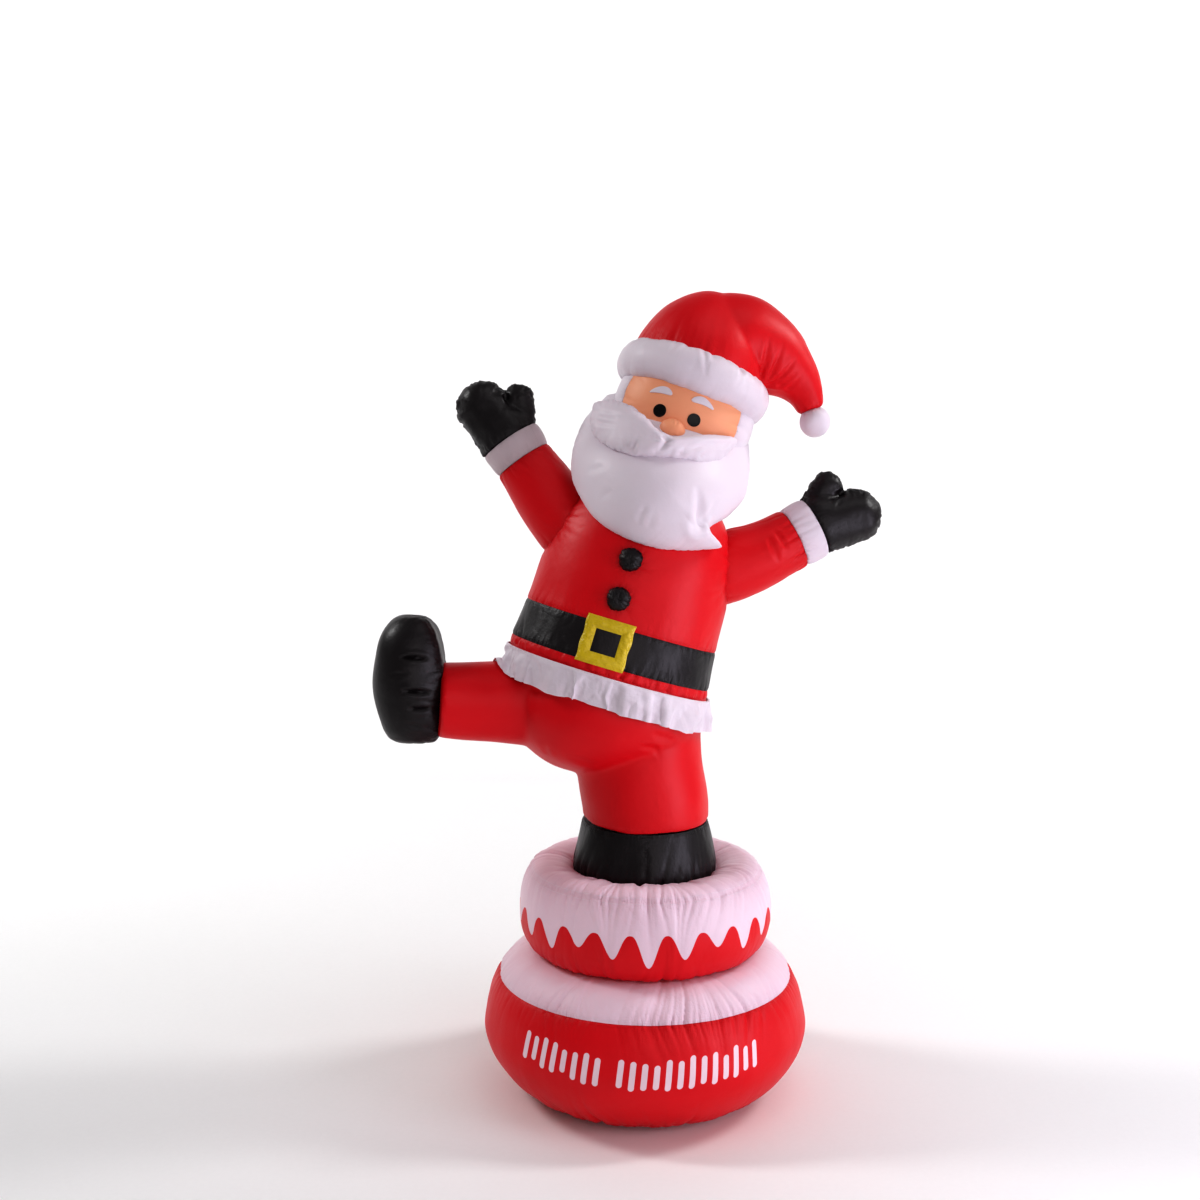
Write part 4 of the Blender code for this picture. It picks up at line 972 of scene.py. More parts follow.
arms = {"root": 0.100, "wrist": 0.067, "cuffLength": 0.054, "cuffRadius": 0.070, "mitten": 0.060,
        "thumb": 0.035, "columns": 150, "voxel": 0.0038,
        "left": {"path": ((-0.050, 0.050, 0.665), (-0.145, 0.058, 0.757), (-0.214, 0.070, 0.838),
                          (-0.276, 0.082, 0.928)),
                 # the left cuff is the cuffs' white with painted shade
                 "cuff": "cuffWhiteInPaintedShade", "seamColumn": 75, "gathers": 1.0, "thumbSide": -1, "bend": 0.16,
                 "seed": 100, "folds": ()},
        "right": {"path": ((0.020, 0.050, 0.660), (0.130, 0.058, 0.675), (0.246, 0.070, 0.707),
                           (0.338, 0.082, 0.752)),
                  "cuff": "white", "seamColumn": 70, "gathers": 1.5, "thumbSide": 1, "bend": 0.36,
                  "seed": 120, "folds": (((0.270, -0.010, 0.770), (0.300, 0.000, 0.700), 0.0030, 0.006),
                                         ((0.285, -0.005, 0.790), (0.318, 0.004, 0.730), 0.0035, 0.005),
                                         ((0.150, -0.030, 0.640), (0.115, -0.025, 0.700), 0.0030, 0.008))}}


def armGrid(points):
    rows = [(i, *point) for i, point in enumerate(points)]
    ts = np.linspace(0, len(points) - 1, 90)
    path = onCurve(rows, ts)
    radii = arms["root"] + (arms["wrist"] - arms["root"]) * ts / ts[-1]
    both = evenly(np.column_stack([path, radii]), cell)
    return tube(both[:, :3], both[:, 3], arms["columns"]), both[:, :3]


def buildArm(side):
    arm = arms[side]
    grid, path = armGrid(arm["path"])
    start = path[-1]
    ahead = path[-1] - path[-2]
    ahead = ahead / np.linalg.norm(ahead)
    armhole = armholeOf(grid)
    seed, gathered = arm["seed"], 0.0010 * arm["gathers"]
    seams = [seam(placed(armhole, figureSpace.inverted()), spacing=0.020, height=0.0012, reach=0.022,
                  seed=seed, pinch=0.003, pinchWidth=0.006),
             seam(grid[-1], spacing=0.015, height=gathered, reach=0.022, seed=seed + 1, pinch=0.0026),
             seam(grid[:, arm["seamColumn"]], closed=False, spacing=0.03, height=0.0005, reach=0.012,
                  pinch=0.0016, seed=seed + 2)]
    sewn(side + "Sleeve", grid, "red", [side + "_sleeve"], figureSpace, seams=seams,
         creases=creasesOf(arm["folds"]), wave=0.0010, waveSize=0.09, seed=seed + 3)

    along = np.linspace(0.0004, arms["cuffLength"], 15)
    radii = arms["wrist"] + (arms["cuffRadius"] - arms["wrist"]) * along / arms["cuffLength"]
    radii = radii + 0.0022 * np.sin(math.pi * along / arms["cuffLength"])
    band = tube(start + ahead * along[:, None], radii, arms["columns"])
    lines = [seam(band[0], spacing=0.015, height=0.9 * gathered, reach=0.018, seed=seed + 1, pinch=0.0030),
             seam(band[-1], spacing=0.015, height=0.0009, reach=0.016, seed=seed + 4, pinch=0.0026)]
    sewn(side + "Cuff", band, arm["cuff"], [side + "_cuff"], figureSpace, seams=lines, wave=0.0006,
         waveSize=0.05, seed=seed + 5)
    buildMitten(side, start, ahead, seed)
    return armhole


def buildMitten(side, start, ahead, seed):
    thumbSide, bend = arms[side]["thumbSide"], arms[side]["bend"]
    out = np.cross(ahead, (0, 1.0, 0))
    out = out / np.linalg.norm(out) * thumbSide
    base = start + ahead * (arms["cuffLength"] + 0.0004)
    size, thumb = arms["mitten"], arms["thumb"]
    palmRows = [(i, *(base + (ahead * a - out * b) * size), r) for i, (a, b, r) in enumerate(
        ((0, 0, arms["cuffRadius"]), (0.35, 0, arms["cuffRadius"]), (1.05, 0.5 * bend, 1.08 * size),
         (1.70, bend, size)))]
    palm = evenly(onCurve(palmRows, np.linspace(0, 3, 80)), 0.006)
    thumbRows = [(i, *(base + (ahead * a + out * b) * size), r * thumb) for i, (a, b, r) in enumerate(
        ((0.34, 0.68, 0.90), (0.76, 0.98, 0.97), (1.16, 1.17, 1.0)))]
    stub = evenly(onCurve(thumbRows, np.linspace(0, 2, 40)), 0.005)
    grids = [tube(palm[:, :3], palm[:, 3], 80, 16), tube(stub[:, :3], stub[:, 3], 56, 12)]
    plane = (figureSpace @ Vector(base), -Vector(ahead))
    name = side + "Mitten"
    whole = fused(name, [placed(g, figureSpace) for g in grids], arms["voxel"], 3, [plane])
    # one seam runs round the hand's outline, where palm and back are sewn together
    points, normals = coordinates(whole.data), facing(whole.data)
    local = points - np.array(figureSpace @ Vector(base))
    inPlane = np.abs(local[:, 1] - (local @ ahead) * ahead[1] * 0.9) < 0.004
    rim = points[inPlane & (np.abs(normals[:, 1]) < 0.45)]
    order = np.argsort(np.arctan2(rim[:, 2] - rim[:, 2].mean(), rim[:, 0] - rim[:, 0].mean()))
    wrist = tube([base, base + ahead * 0.001], [arms["cuffRadius"]] * 2, 90)[0]
    seams = [seam(wrist, spacing=0.016, height=0.0009, reach=0.014, seed=seed + 6, pinch=0.0024),
             seam(placed(rim[order], figureSpace.inverted()), spacing=0.017, height=0.0016, reach=0.016,
                  seed=seed + 7, pinch=0.0026, pinchWidth=0.004, even=0.5)]
    notch = base + (ahead * 1.35 + out * 0.62) * size
    folds = []
    for k, (a, b) in enumerate(((-0.55, -0.25), (-0.62, 0.05), (-0.45, 0.35))):
        for y in (-1, 1):
            start = notch + (0, y * 0.022, 0)
            end = notch + (ahead * a - out * b) * size + (0, y * 0.055, 0)
            folds.append(crease(start, end, 0.0032 - 0.0007 * k, 0.0060, root=True))
    dressFused(whole, "black", [side + "_mitten"], figureSpace, seams=seams, creases=folds, wave=0.0014,
               waveSize=0.05, seed=seed + 8)


armholes = [buildArm(side) for side in ("left", "right")]
buildTrunk(armholes)
buildButtons()
buildBuckle()

# Head, face and hat

head = {"half": (0.160, 0.155, 0.172), "faceSeam": 0.088, "eye": 0.0140, "eyeSpread": 0.0385,
        "eyeDrop": 0.019, "browSpread": 0.047, "browRise": 0.017, "browLength": 0.050, "browWidth": 0.016,
        "nose": 0.027, "noseDrop": 0.052, "patch": 0.002}
hat = {"brimRadius": 0.139, "brimHalfHeight": 0.046, "brimHalfWidth": 0.038, "crownRadius": 0.152,
       "crownHeight": 0.214, "tailTip": 0.030, "pompom": 0.035, "voxel": 0.0046, "brimRings": 90,
       "topRing": 22, "underRing": 68}


def headGrid(start, end, rows):
    angle = np.linspace(start, end, rows)[:, None]
    size = np.maximum(np.cos(angle), 1e-5)
    turn = roundAngles(230)
    half = head["half"]
    return np.stack([half[0] * size * np.cos(turn), half[1] * np.sin(angle) + 0 * turn,
                     half[2] * size * np.sin(turn)], -1)


def facePoint(x, z, out=0.0):
    a, b, c = head["half"]
    y = -b * np.sqrt(1 - (x / a) ** 2 - (z / c) ** 2)
    face = np.stack([x / a ** 2, y / b ** 2, z / c ** 2], -1)
    face /= np.linalg.norm(face, axis=-1, keepdims=True)
    return np.stack([x, y, z], -1) + face * out


def facePatch(name, centre, outline, cloth, node, puff=0.0012, rings=14):
    # a thin patch over the face, turned under at its edge
    outline = np.asarray(outline)
    under = head["patch"] * 0.55
    lifts = [(s, under + puff * math.sqrt(max(0.0, 1 - s ** 2))) for s in np.linspace(0.02, 1.0, rings)]
    lifts += [(s, under * lift) for s, lift in ((1.006, 0.5), (1.008, -0.2), (1.0, -0.9))]
    grid = [facePoint(*(np.reshape(centre, (2, 1)) + outline.T * s), lift) for s, lift in lifts]
    sewn(name, np.array(grid), cloth, [node], headSpace, fill=None, wave=0.00015, waveSize=0.02, seed=7)


def buildHead():
    front, back = -math.pi / 2, math.pi / 2
    seamAngle = math.asin(-head["faceSeam"] / head["half"][1])
    line = headGrid(seamAngle, seamAngle + 0.01, 2)[0]
    seams = [seam(line, spacing=0.018, height=0.0009, reach=0.018, seed=131, pinch=0.0022)]
    sewn("facePanel", headGrid(front + 0.02, seamAngle, 34), "skin", ["face"], headSpace, seams=seams,
         wave=0.0005, seed=133)
    sewn("headBack", headGrid(seamAngle + 0.003, back, 70), "white", ["head"], headSpace, seams=seams,
         seed=135)

    turn = roundAngles(64)
    c, s = np.cos(turn), np.sin(turn)
    disc = np.stack([c, s], -1) * head["eye"]
    width = head["browWidth"]
    for name, side in (("left", -1), ("right", 1)):
        facePatch(name + "Eye", (side * head["eyeSpread"], -head["eyeDrop"]), disc, "eye", name + "_eye",
                  0.0006)
        arch = 0.45 * width * (1 - c * c) - 0.2 * width * (c + 1)
        leaf = np.stack([side * c * head["browLength"] / 2, arch + s * width / 2 * (1 - 0.25 * c)], -1)
        facePatch(name + "Brow", (side * head["browSpread"], head["browRise"] + 0.3 * width), leaf, "white",
                  name + "_brow", 0.0010)

    size = head["nose"]
    centre = facePoint(np.array(0.0), np.array(-head["noseDrop"]), 0.25 * size)
    grid = ellipsoid(centre, (1.08 * size, size, 0.95 * size), 96, 48)
    folds = creasesOf([(tuple(centre + np.array(a) * size), tuple(centre + np.array(b) * size), depth, 0.0028)
                       for a, b, depth in (((0.75, -0.75, -0.55), (0.25, -0.98, -0.40), 0.0022),
                                           ((-0.10, -0.55, 0.80), (0.02, -0.90, 0.45), 0.0016),
                                           ((0.30, -0.55, 0.78), (0.20, -0.92, 0.42), 0.0014),
                                           ((-0.70, -0.55, -0.55), (-0.30, -0.90, -0.45), 0.0014),
                                           ((0.55, -0.60, -0.72), (0.15, -0.92, -0.52), 0.0016))])
    sewn("noseBall", grid, "skin", ["nose"], headSpace, creases=folds, wave=0.0005, waveSize=0.03, seed=137)


def tailPath():
    radius, height = hat["crownRadius"], hat["crownHeight"]
    rows = ((0, 0.13, 0.45, 0.77), (1, 0.50, 0.56, 0.76), (2, 0.94, 0.56, 0.60), (3, 1.36, 0.455, 0.41),
            (4, 1.62, 0.33, 0.28), (5, 1.80, 0.18, hat["tailTip"] / radius))
    found = onCurve(rows, np.linspace(0, 5, 120))
    line = np.stack([found[:, 0] * radius, 0 * found[:, 0], found[:, 1] * height, found[:, 2] * radius], -1)
    return evenly(line, 0.006)


def buildHat():
    radius, height = hat["crownRadius"], hat["crownHeight"]
    turn = roundAngles(hat["brimRings"])
    buildBrim(np.array([ringAt(hat["brimRadius"] + hat["brimHalfWidth"] * c, hat["brimHalfHeight"] * s, 320)
                        for c, s in zip(np.cos(turn), np.sin(turn))]))

    steps = ((0.0, 1.0), (0.25, 0.99), (0.48, 0.91), (0.68, 0.76), (0.84, 0.56), (0.95, 0.32), (1.0, 0.004))
    dome = turned(profile([(radius * s, height * u) for u, s in steps], 0.008), 140)
    line = tailPath()
    tail = tube(line[:, :3], line[:, 3], 110)
    whole = fused("hatCrown", [placed(dome, hatSpace), placed(tail, hatSpace)], hat["voxel"], 6)
    # folds in the tail's bend, in front and behind: start, way to the end, depth and width
    folds = []
    for side in (-1, 1):
        for (x, z), (dx, dz), depth, width in (
                ((0.93, 0.16), (-0.20, 0.46), 0.0075, 0.008), ((1.02, 0.14), (-0.02, 0.52), 0.0060, 0.007),
                ((1.10, 0.14), (0.22, 0.44), 0.0075, 0.008), ((0.86, 0.24), (-0.24, 0.22), 0.0040, 0.006),
                ((1.22, 0.18), (0.20, 0.26), 0.0045, 0.006), ((1.36, 0.16), (0.14, 0.22), 0.0030, 0.005)):
            folds.append(crease((x * radius, side * 0.062, z * height),
                                ((x + dx) * radius, side * 0.085, (z + dz) * height), depth, width,
                                root=True))
    top = [(x * radius, 0.0, 1.02 * height) for x in np.linspace(-0.9, 1.7, 60)]
    surface = surfaceOf(whole)
    ridge = np.array([surface.find_nearest(hatSpace @ Vector(p))[0] for p in top])
    mouth = tube(line[-2:, :3], line[-2:, 3], 80)[-1]
    seams = [seam(placed(ridge, hatSpace.inverted()), closed=False, spacing=0.030, height=0.0006, reach=0.014,
                  pinch=0.0018, seed=141),
             seam(mouth, spacing=0.010, height=0.0010, reach=0.016, pinch=0.0030, seed=142, even=0.6),
             seam(ringAt(0.960 * radius, 0.2 * height, 200), spacing=0.020, height=0.0008, reach=0.024,
                  pinch=0.0, seed=143)]
    dressFused(whole, "red", ["hat_crown"], hatSpace, seams=seams, creases=folds, wave=0.0010, waveSize=0.10,
               seed=145)

    size = hat["pompom"]
    ahead = line[-1, :3] - line[-2, :3]
    ahead /= np.linalg.norm(ahead)
    centre = line[-1, :3] + ahead * 0.8 * size
    axis = np.linspace(-0.97, 1.0, 44)
    path = centre + ahead * (axis * size)[:, None]
    ball = tube(path, size * np.sqrt(np.maximum(1 - axis ** 2, 1e-5)), 110)
    ribs = 0.0010 * unevenness(placed(ball, hatSpace).reshape(-1, 3), 0.045, 9)
    seams = [seam(mouth, spacing=0.010, height=0.0004, reach=0.014, pinch=0.0006, seed=147, even=0.8)]
    sewn("pompom", ball, "white", ["hat_pompom"], hatSpace, seams=seams, wave=0.0006, waveSize=0.03,
         extra=ribs, seed=148)


def buildBrim(rings):
    seams = [seam(rings[hat[ring]], spacing=spacing, height=0.0016, reach=0.026, seed=seed, pinch=0.0026,
                  pinchWidth=0.006) for ring, spacing, seed in (("topRing", 0.022, 151),
                                                                ("underRing", 0.024, 153))]
    down = np.roll(rings, -1, 0) - np.roll(rings, 1, 0)
    across = np.roll(rings, -1, 1) - np.roll(rings, 1, 1)
    normals = np.cross(across, down)
    normals /= np.linalg.norm(normals, axis=2, keepdims=True)
    if ((rings[0] - rings[hat["brimRings"] // 2]) * normals[0]).sum() < 0:
        normals = -normals
    world = placed(rings, hatSpace).reshape(-1, 3)
    normals = (normals @ np.array(hatSpace.to_3x3()).T).reshape(-1, 3)
    creases = []
    rng = np.random.default_rng(155)
    out, lift = hat["brimRadius"] + 0.028, hat["brimHalfHeight"] * 0.75
    for turn in np.arange(-150, 210, 30) + rng.uniform(-8, 8, 12):
        a, b = math.radians(turn), math.radians(turn + rng.uniform(-7, 7))
        creases.append(crease((0.93 * out * math.cos(a), 0.93 * out * math.sin(a), lift),
                              (1.06 * out * math.cos(b), 1.06 * out * math.sin(b),
                               lift - rng.uniform(0.02, 0.05)), 0.0030, 0.006, root=True))
    rows, columns = rings.shape[:2]
    index = np.arange(rows * columns).reshape(rows, columns)
    beside, below = np.roll(index, -1, 1), np.roll(index, -1, 0)
    quads = np.stack([index, beside, np.roll(beside, -1, 0), below], -1).reshape(-1, 4)
    mesh = bpy.data.meshes.new("hatBrim")
    mesh.from_pydata(world.tolist(), [], quads.tolist())
    bm = bmesh.new()
    bm.from_mesh(mesh)
    surface = BVHTree.FromBMesh(bm)
    bm.free()
    moved, strain = dressed(world, normals, seams, creases, hatSpace, surface, wave=0.0012, waveSize=0.07,
                            seed=157)
    moveTo(mesh, moved)
    addStrain(mesh, strain)
    finishPiece(linked("hatBrim", weld(mesh)), "white", ["hat_brim"])


# Beard and moustache: two panels sewn round an outline and blown up

whiskers = {
    "beard": {"centre": (-0.030, 0.430), "fullness": 0.074, "rings": 46, "columns": 400, "outline": (
        (-0.178, 0.600), (-0.205, 0.545), (-0.217, 0.482), (-0.215, 0.435), (-0.197, 0.386), (-0.166, 0.348),
        (-0.128, 0.317), (-0.073, 0.298), (-0.009, 0.292), (0.051, 0.298), (0.108, 0.316), (0.156, 0.337),
        (0.112, 0.362), (0.152, 0.408), (0.177, 0.460), (0.178, 0.505), (0.168, 0.550), (0.150, 0.600),
        (0.080, 0.640), (0.000, 0.650), (-0.090, 0.640))},
    "moustache": {"centre": (-0.035, 0.508), "fullness": 0.036, "rings": 30, "columns": 300, "outline": (
        (-0.200, 0.560), (-0.165, 0.574), (-0.120, 0.570), (-0.075, 0.548), (-0.052, 0.529), (-0.030, 0.518),
        (-0.005, 0.530), (0.030, 0.548), (0.080, 0.566), (0.122, 0.570), (0.110, 0.535), (0.082, 0.503),
        (0.045, 0.492), (0.000, 0.484), (-0.050, 0.472), (-0.105, 0.466), (-0.165, 0.478), (-0.197, 0.515))},
}


def beardDepth(x, z):
    rows = ((0.25, -0.192), (0.30, -0.192), (0.36, -0.196), (0.44, -0.182), (0.52, -0.125), (0.60, -0.050),
            (0.66, -0.020))
    return onCurve(rows, z)[..., 0] + 2.6 * x * x


def moustacheDepth(x, z):
    return -0.205 + 3.1 * (x + 0.03) ** 2 + 0.30 * (z - 0.52)


def pillow(w, depth):
    outline = list(w["outline"])
    rows = [(i, x, z) for i, (x, z) in enumerate(outline + outline[:1])]
    edge = evenly(onCurve(rows, np.linspace(0, len(outline), 1200)), 0.001)
    edge = edge[np.linspace(0, len(edge) - 1, w["columns"] + 1).astype(int)][:-1]
    hub = np.array(w["centre"])
    shares = np.sin(np.linspace(0.012, math.pi / 2, w["rings"]))
    front = [(s, -1) for s in shares]
    behind = [(s, 1) for s in shares[-2::-4]]
    grid = []
    # the inner rings follow a smoother edge, so that no fold runs in from a notch
    soft = edge
    for _ in range(260):
        soft = (np.roll(soft, 1, 0) + soft + np.roll(soft, -1, 0)) / 3
    for share, side in front + behind:
        full = side * w["fullness"] * math.sqrt(max(0.0, 1 - share * share))
        points = hub + (soft + (edge - soft) * share ** 5 - hub) * share
        grid.append(np.stack([points[:, 0], depth(points[:, 0], points[:, 1]) + full, points[:, 1]], -1))
    return np.array(grid), len(front) - 1


def buildBeard():
    w = whiskers["beard"]
    grid, rim = pillow(w, beardDepth)
    seams = [seam(grid[rim], spacing=0.014, height=0.0008, reach=0.016, seed=161, pinch=0.0)]

    def onFront(x, z):
        return (x, float(beardDepth(np.array([x]), np.array([z]))[0]) - w["fullness"], z)

    folds = [crease(onFront(*start), onFront(*end), *size) for start, end, *size in (
        ((0.104, 0.362), (0.060, 0.445), 0.0110, 0.013, True),
        ((0.088, 0.352), (0.052, 0.372), 0.0030, 0.009, True),
        ((0.112, 0.366), (0.124, 0.440), 0.0034, 0.007, True),
        ((-0.046, 0.312), (-0.036, 0.372), 0.0014, 0.009, False),
        ((-0.018, 0.306), (-0.016, 0.362), 0.0012, 0.008, False),
        ((-0.190, 0.410), (-0.150, 0.430), 0.0014, 0.009, False),
        ((-0.150, 0.350), (-0.118, 0.382), 0.0014, 0.009, False))]
    sewn("beardPillow", grid, "white", ["beard"], trunkSpace, seams=seams, creases=folds, wave=0.0014,
         waveSize=0.11, seed=163)


def buildMoustache():
    w = whiskers["moustache"]
    grid, rim = pillow(w, moustacheDepth)
    seams = [seam(grid[rim], spacing=0.013, height=0.0009, reach=0.014, seed=171, pinch=0.0)]

    def onFront(x, z):
        return (x, moustacheDepth(x, z) - w["fullness"], z)

    pleats = []
    for k in range(6):
        start, end = (0.118 - 0.011 * k, 0.566 - 0.004 * k), (0.098 - 0.016 * k, 0.534 - 0.006 * k)
        pleats.append(crease(onFront(*start), onFront(*end), 0.0034, 0.0035))
    folds = [crease(onFront(*start), onFront(*end), *size, root=True) for start, end, *size in (
        ((-0.030, 0.516), (-0.042, 0.482), 0.0060, 0.007),
        ((-0.040, 0.520), (-0.075, 0.500), 0.0035, 0.006),
        ((-0.100, 0.470), (-0.085, 0.520), 0.0040, 0.006),
        ((-0.112, 0.470), (-0.115, 0.515), 0.0030, 0.005),
        ((-0.185, 0.540), (-0.130, 0.548), 0.0030, 0.006),
        ((-0.188, 0.520), (-0.140, 0.520), 0.0028, 0.006),
        ((0.010, 0.490), (0.020, 0.530), 0.0030, 0.006),
        ((0.060, 0.500), (0.070, 0.530), 0.0034, 0.005))]
    sewn("moustachePillow", grid, "white", ["moustache"], trunkSpace, seams=seams, creases=pleats + folds,
         wave=0.0010, waveSize=0.06, crinkle=0.0012, crinkleSize=0.05, seed=173)


buildHead()
buildHat()
buildBeard()
buildMoustache()

# The loose flounce below the hem, draped by the cloth solver

flounce = {"drop": 0.069, "top": -0.003, "flare": 0.036, "columns": 320, "rows": 14, "fullness": 1.04,
           "folds": 10, "swing": 0.0036, "limp": ((0.017, 0.105, 187), (0.003, 0.04, 189)),
           "startGap": 0.004, "endGap": 0.002, "frames": 26, "thickness": 0.0006, "seamAllowance": 0.006}


def clearOf(points, surface, gap):
    # places in or against a body, moved to just off it
    moved = points.copy()
    for i, point in enumerate(points):
        place, face = surface.find_nearest(Vector(point))[:2]
        if (Vector(point) - place).dot(face) < gap:
            moved[i] = place + face * gap
    return moved


def buildFlounce():
    f = flounce
    hips = surfaces["trouserLegs"]
    columns, rows = f["columns"], f["rows"]
    angle = roundAngles(columns)
    warp = angle + 0.22 * np.sin(2 * angle + 1.0) + 0.12 * np.sin(5 * angle)
    swing = np.sin(f["folds"] * warp) * (0.5 + 0.5 * np.sin(3 * angle + 2.0))
    swing = swing + 0.45 * np.sin((f["folds"] * 2.3) * warp + 1.3) * (0.5 + 0.5 * np.sin(4 * angle))
    grid = []
    for share in np.linspace(0, 1, rows):
        rise = f["top"] - (f["drop"] + f["top"]) * share + 0.0015 * share * swing
        out = 0.0022 + f["flare"] * 0.72 * share + f["swing"] * share ** 0.8 * swing
        across, along = trunk["hemRadius"] + out, trunk["hemRadius"] * trunk["flat"] + out
        grid.append(np.stack([across * np.cos(angle), along * np.sin(angle), rise], -1))
    points = clearOf(placed(np.array(grid), trunkSpace).reshape(-1, 3), hips, f["startGap"])
    index = np.arange(rows * columns).reshape(rows, columns)
    beside = np.roll(index, -1, 1)
    quads = np.stack([index[:-1], index[1:], beside[1:], beside[:-1]], -1).reshape(-1, 4).tolist()
    mesh = bpy.data.meshes.new("flounce")
    mesh.from_pydata(points.tolist(), [], quads)
    thing = linked("flounceForm", mesh)
    thing = drape(thing, columns, f["frames"])
    fine = thing.modifiers.new("fine", "SUBSURF")
    fine.levels = fine.render_levels = 1
    whole = evaluated(thing, "flounceStrip")
    points, normals = coordinates(whole.data), facing(whole.data)
    below = placed(points, trunkSpace.inverted())[:, 2] * -1
    slack = np.clip((below - 0.006) / 0.03, 0, 1)
    limp = sum(height * crumple(points, size, seed) for height, size, seed in f["limp"])
    limp = np.maximum(limp, -0.003) + 0.0015
    moveTo(whole.data, clearOf(points + normals * (limp * slack)[:, None], hips, f["endGap"]))
    evenStrain(whole.data, 0.35)
    solid = whole.modifiers.new("solid", "SOLIDIFY")
    solid.thickness, solid.offset = f["thickness"], 0.0
    whole = evaluated(whole, "flounceStrip")
    finishPiece(whole, "white", ["flounce"])


def drape(thing, pinnedCount, frames):
    # the strip hangs from its sewn edge over the hips
    pinned = thing.vertex_groups.new(name="pinned")
    pinned.add(list(range(pinnedCount)), 1.0, "REPLACE")
    body = linked("hipsForm", bpy.data.objects["trouserLegs"].data.copy())
    thin = body.modifiers.new("thin", "DECIMATE")
    thin.ratio = 0.08
    body = evaluated(body, "hipsForm")
    body.modifiers.new("collision", "COLLISION")
    body.collision.thickness_outer = 0.003
    body.collision.cloth_friction = 12.0
    cloth = thing.modifiers.new("cloth", "CLOTH")
    cloth.settings.vertex_group_mass = "pinned"
    cloth.settings.quality = 6
    cloth.settings.mass = 0.08
    cloth.settings.tension_stiffness = cloth.settings.compression_stiffness = 18.0
    cloth.settings.shear_stiffness = 8.0
    cloth.settings.bending_stiffness = 0.35
    cloth.settings.shrink_min = -0.03
    cloth.collision_settings.distance_min = 0.003
    cloth.point_cache.frame_start, cloth.point_cache.frame_end = 1, frames
    scene = bpy.context.scene
    for step in range(1, frames + 1):
        scene.frame_set(step)
    draped = evaluated(thing, "flounceDraped")
    bpy.data.objects.remove(body)
    scene.frame_set(1)
    return draped


buildFlounce()

# Stitches along the seams, one thread colour at a time

thread = {"spacing": 0.0058, "length": 0.0040, "radius": 0.00035, "lift": 0.00025, "reach": 0.012}
stitchInputs = {"Spacing": "spacing", "Stitch Length": "length", "Thread Radius": "radius"}


def stitchTree(name, material):
    tree = bpy.data.node_groups.new(name, "GeometryNodeTree")
    tree.interface.new_socket("Geometry", in_out="INPUT", socket_type="NodeSocketGeometry")
    for label, key in stitchInputs.items():
        socket = tree.interface.new_socket(label, in_out="INPUT", socket_type="NodeSocketFloat")
        socket.default_value = thread[key]
    tree.interface.new_socket("Geometry", in_out="OUTPUT", socket_type="NodeSocketGeometry")
    nodes, join = tree.nodes, tree.links.new
    entry, leave = nodes.new("NodeGroupInput"), nodes.new("NodeGroupOutput")
    spaced = nodes.new("GeometryNodeCurveToPoints")
    spaced.mode = "LENGTH"
    join(entry.outputs["Geometry"], spaced.inputs["Curve"])
    join(entry.outputs["Spacing"], spaced.inputs["Length"])
    stitch = nodes.new("GeometryNodeMeshCylinder")
    stitch.inputs["Vertices"].default_value = 6
    join(entry.outputs["Stitch Length"], stitch.inputs["Depth"])
    join(entry.outputs["Thread Radius"], stitch.inputs["Radius"])
    each = nodes.new("GeometryNodeInstanceOnPoints")
    join(spaced.outputs["Points"], each.inputs["Points"])
    join(stitch.outputs["Mesh"], each.inputs["Instance"])
    join(spaced.outputs["Rotation"], each.inputs["Rotation"])
    real, painted = nodes.new("GeometryNodeRealizeInstances"), nodes.new("GeometryNodeSetMaterial")
    painted.inputs["Material"].default_value = material
    join(each.outputs["Instances"], real.inputs["Geometry"])
    join(real.outputs["Geometry"], painted.inputs["Geometry"])
    join(painted.outputs["Geometry"], leave.inputs["Geometry"])
    return tree


def stitches(name, lines, cloth):
    # each line is a closed ring of world points and the piece whose surface carries it
    curve = bpy.data.curves.new(name, "CURVE")
    curve.dimensions = "3D"
    for points, piece in lines:
        snapped = []
        for point in evenly(np.vstack([points, points[:1]]), 0.004):
            place, normal, _, away = surfaces[piece].find_nearest(Vector(point))
            if away < thread["reach"]:
                snapped.append(place + normal * thread["lift"])
        if len(snapped) < 3:
            continue
        spline = curve.splines.new("POLY")
        spline.points.add(len(snapped) - 1)
        for target, place in zip(spline.points, snapped):
            target.co = (*place, 1)
    thing = linked(name + "Path", curve)
    modifier = thing.modifiers.new("stitches", "NODES")
    tree = stitchTree(name, cloths[cloth]["material"])
    modifier.node_group = tree
    identifiers = {item.name: item.identifier for item in tree.interface.items_tree if item.in_out == "INPUT"}
    for label, key in stitchInputs.items():
        modifier[identifiers[label]] = thread[key]
    whole = evaluated(thing, name)
    whole.data.materials.clear()
    whole.data.materials.append(cloths[cloth]["material"])
    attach(whole, "root")
    print("made", name, len(whole.data.polygons))


def buckleSquare():
    # the line of stitches just inside the buckle's edge
    half, tall = buckle["width"] / 2 - 0.004, buckle["height"] / 2 - 0.004
    middle = trunk["hem"] + trunk["belt"] / 2 + buckle["rise"]
    corners = ((-half, -tall), (half, -tall), (half, tall), (-half, tall))
    square = []
    for a, b in zip(corners, corners[1:] + corners[:1]):
        for share in np.linspace(0, 1, 20)[:-1]:
            x, z = a[0] + (b[0] - a[0]) * share, b[1] * share + a[1] * (1 - share)
            square.append(trunkPoint(x, np.array(middle + z), 0.004)[0])
    return placed(np.array(square).reshape(-1, 3), trunkSpace)


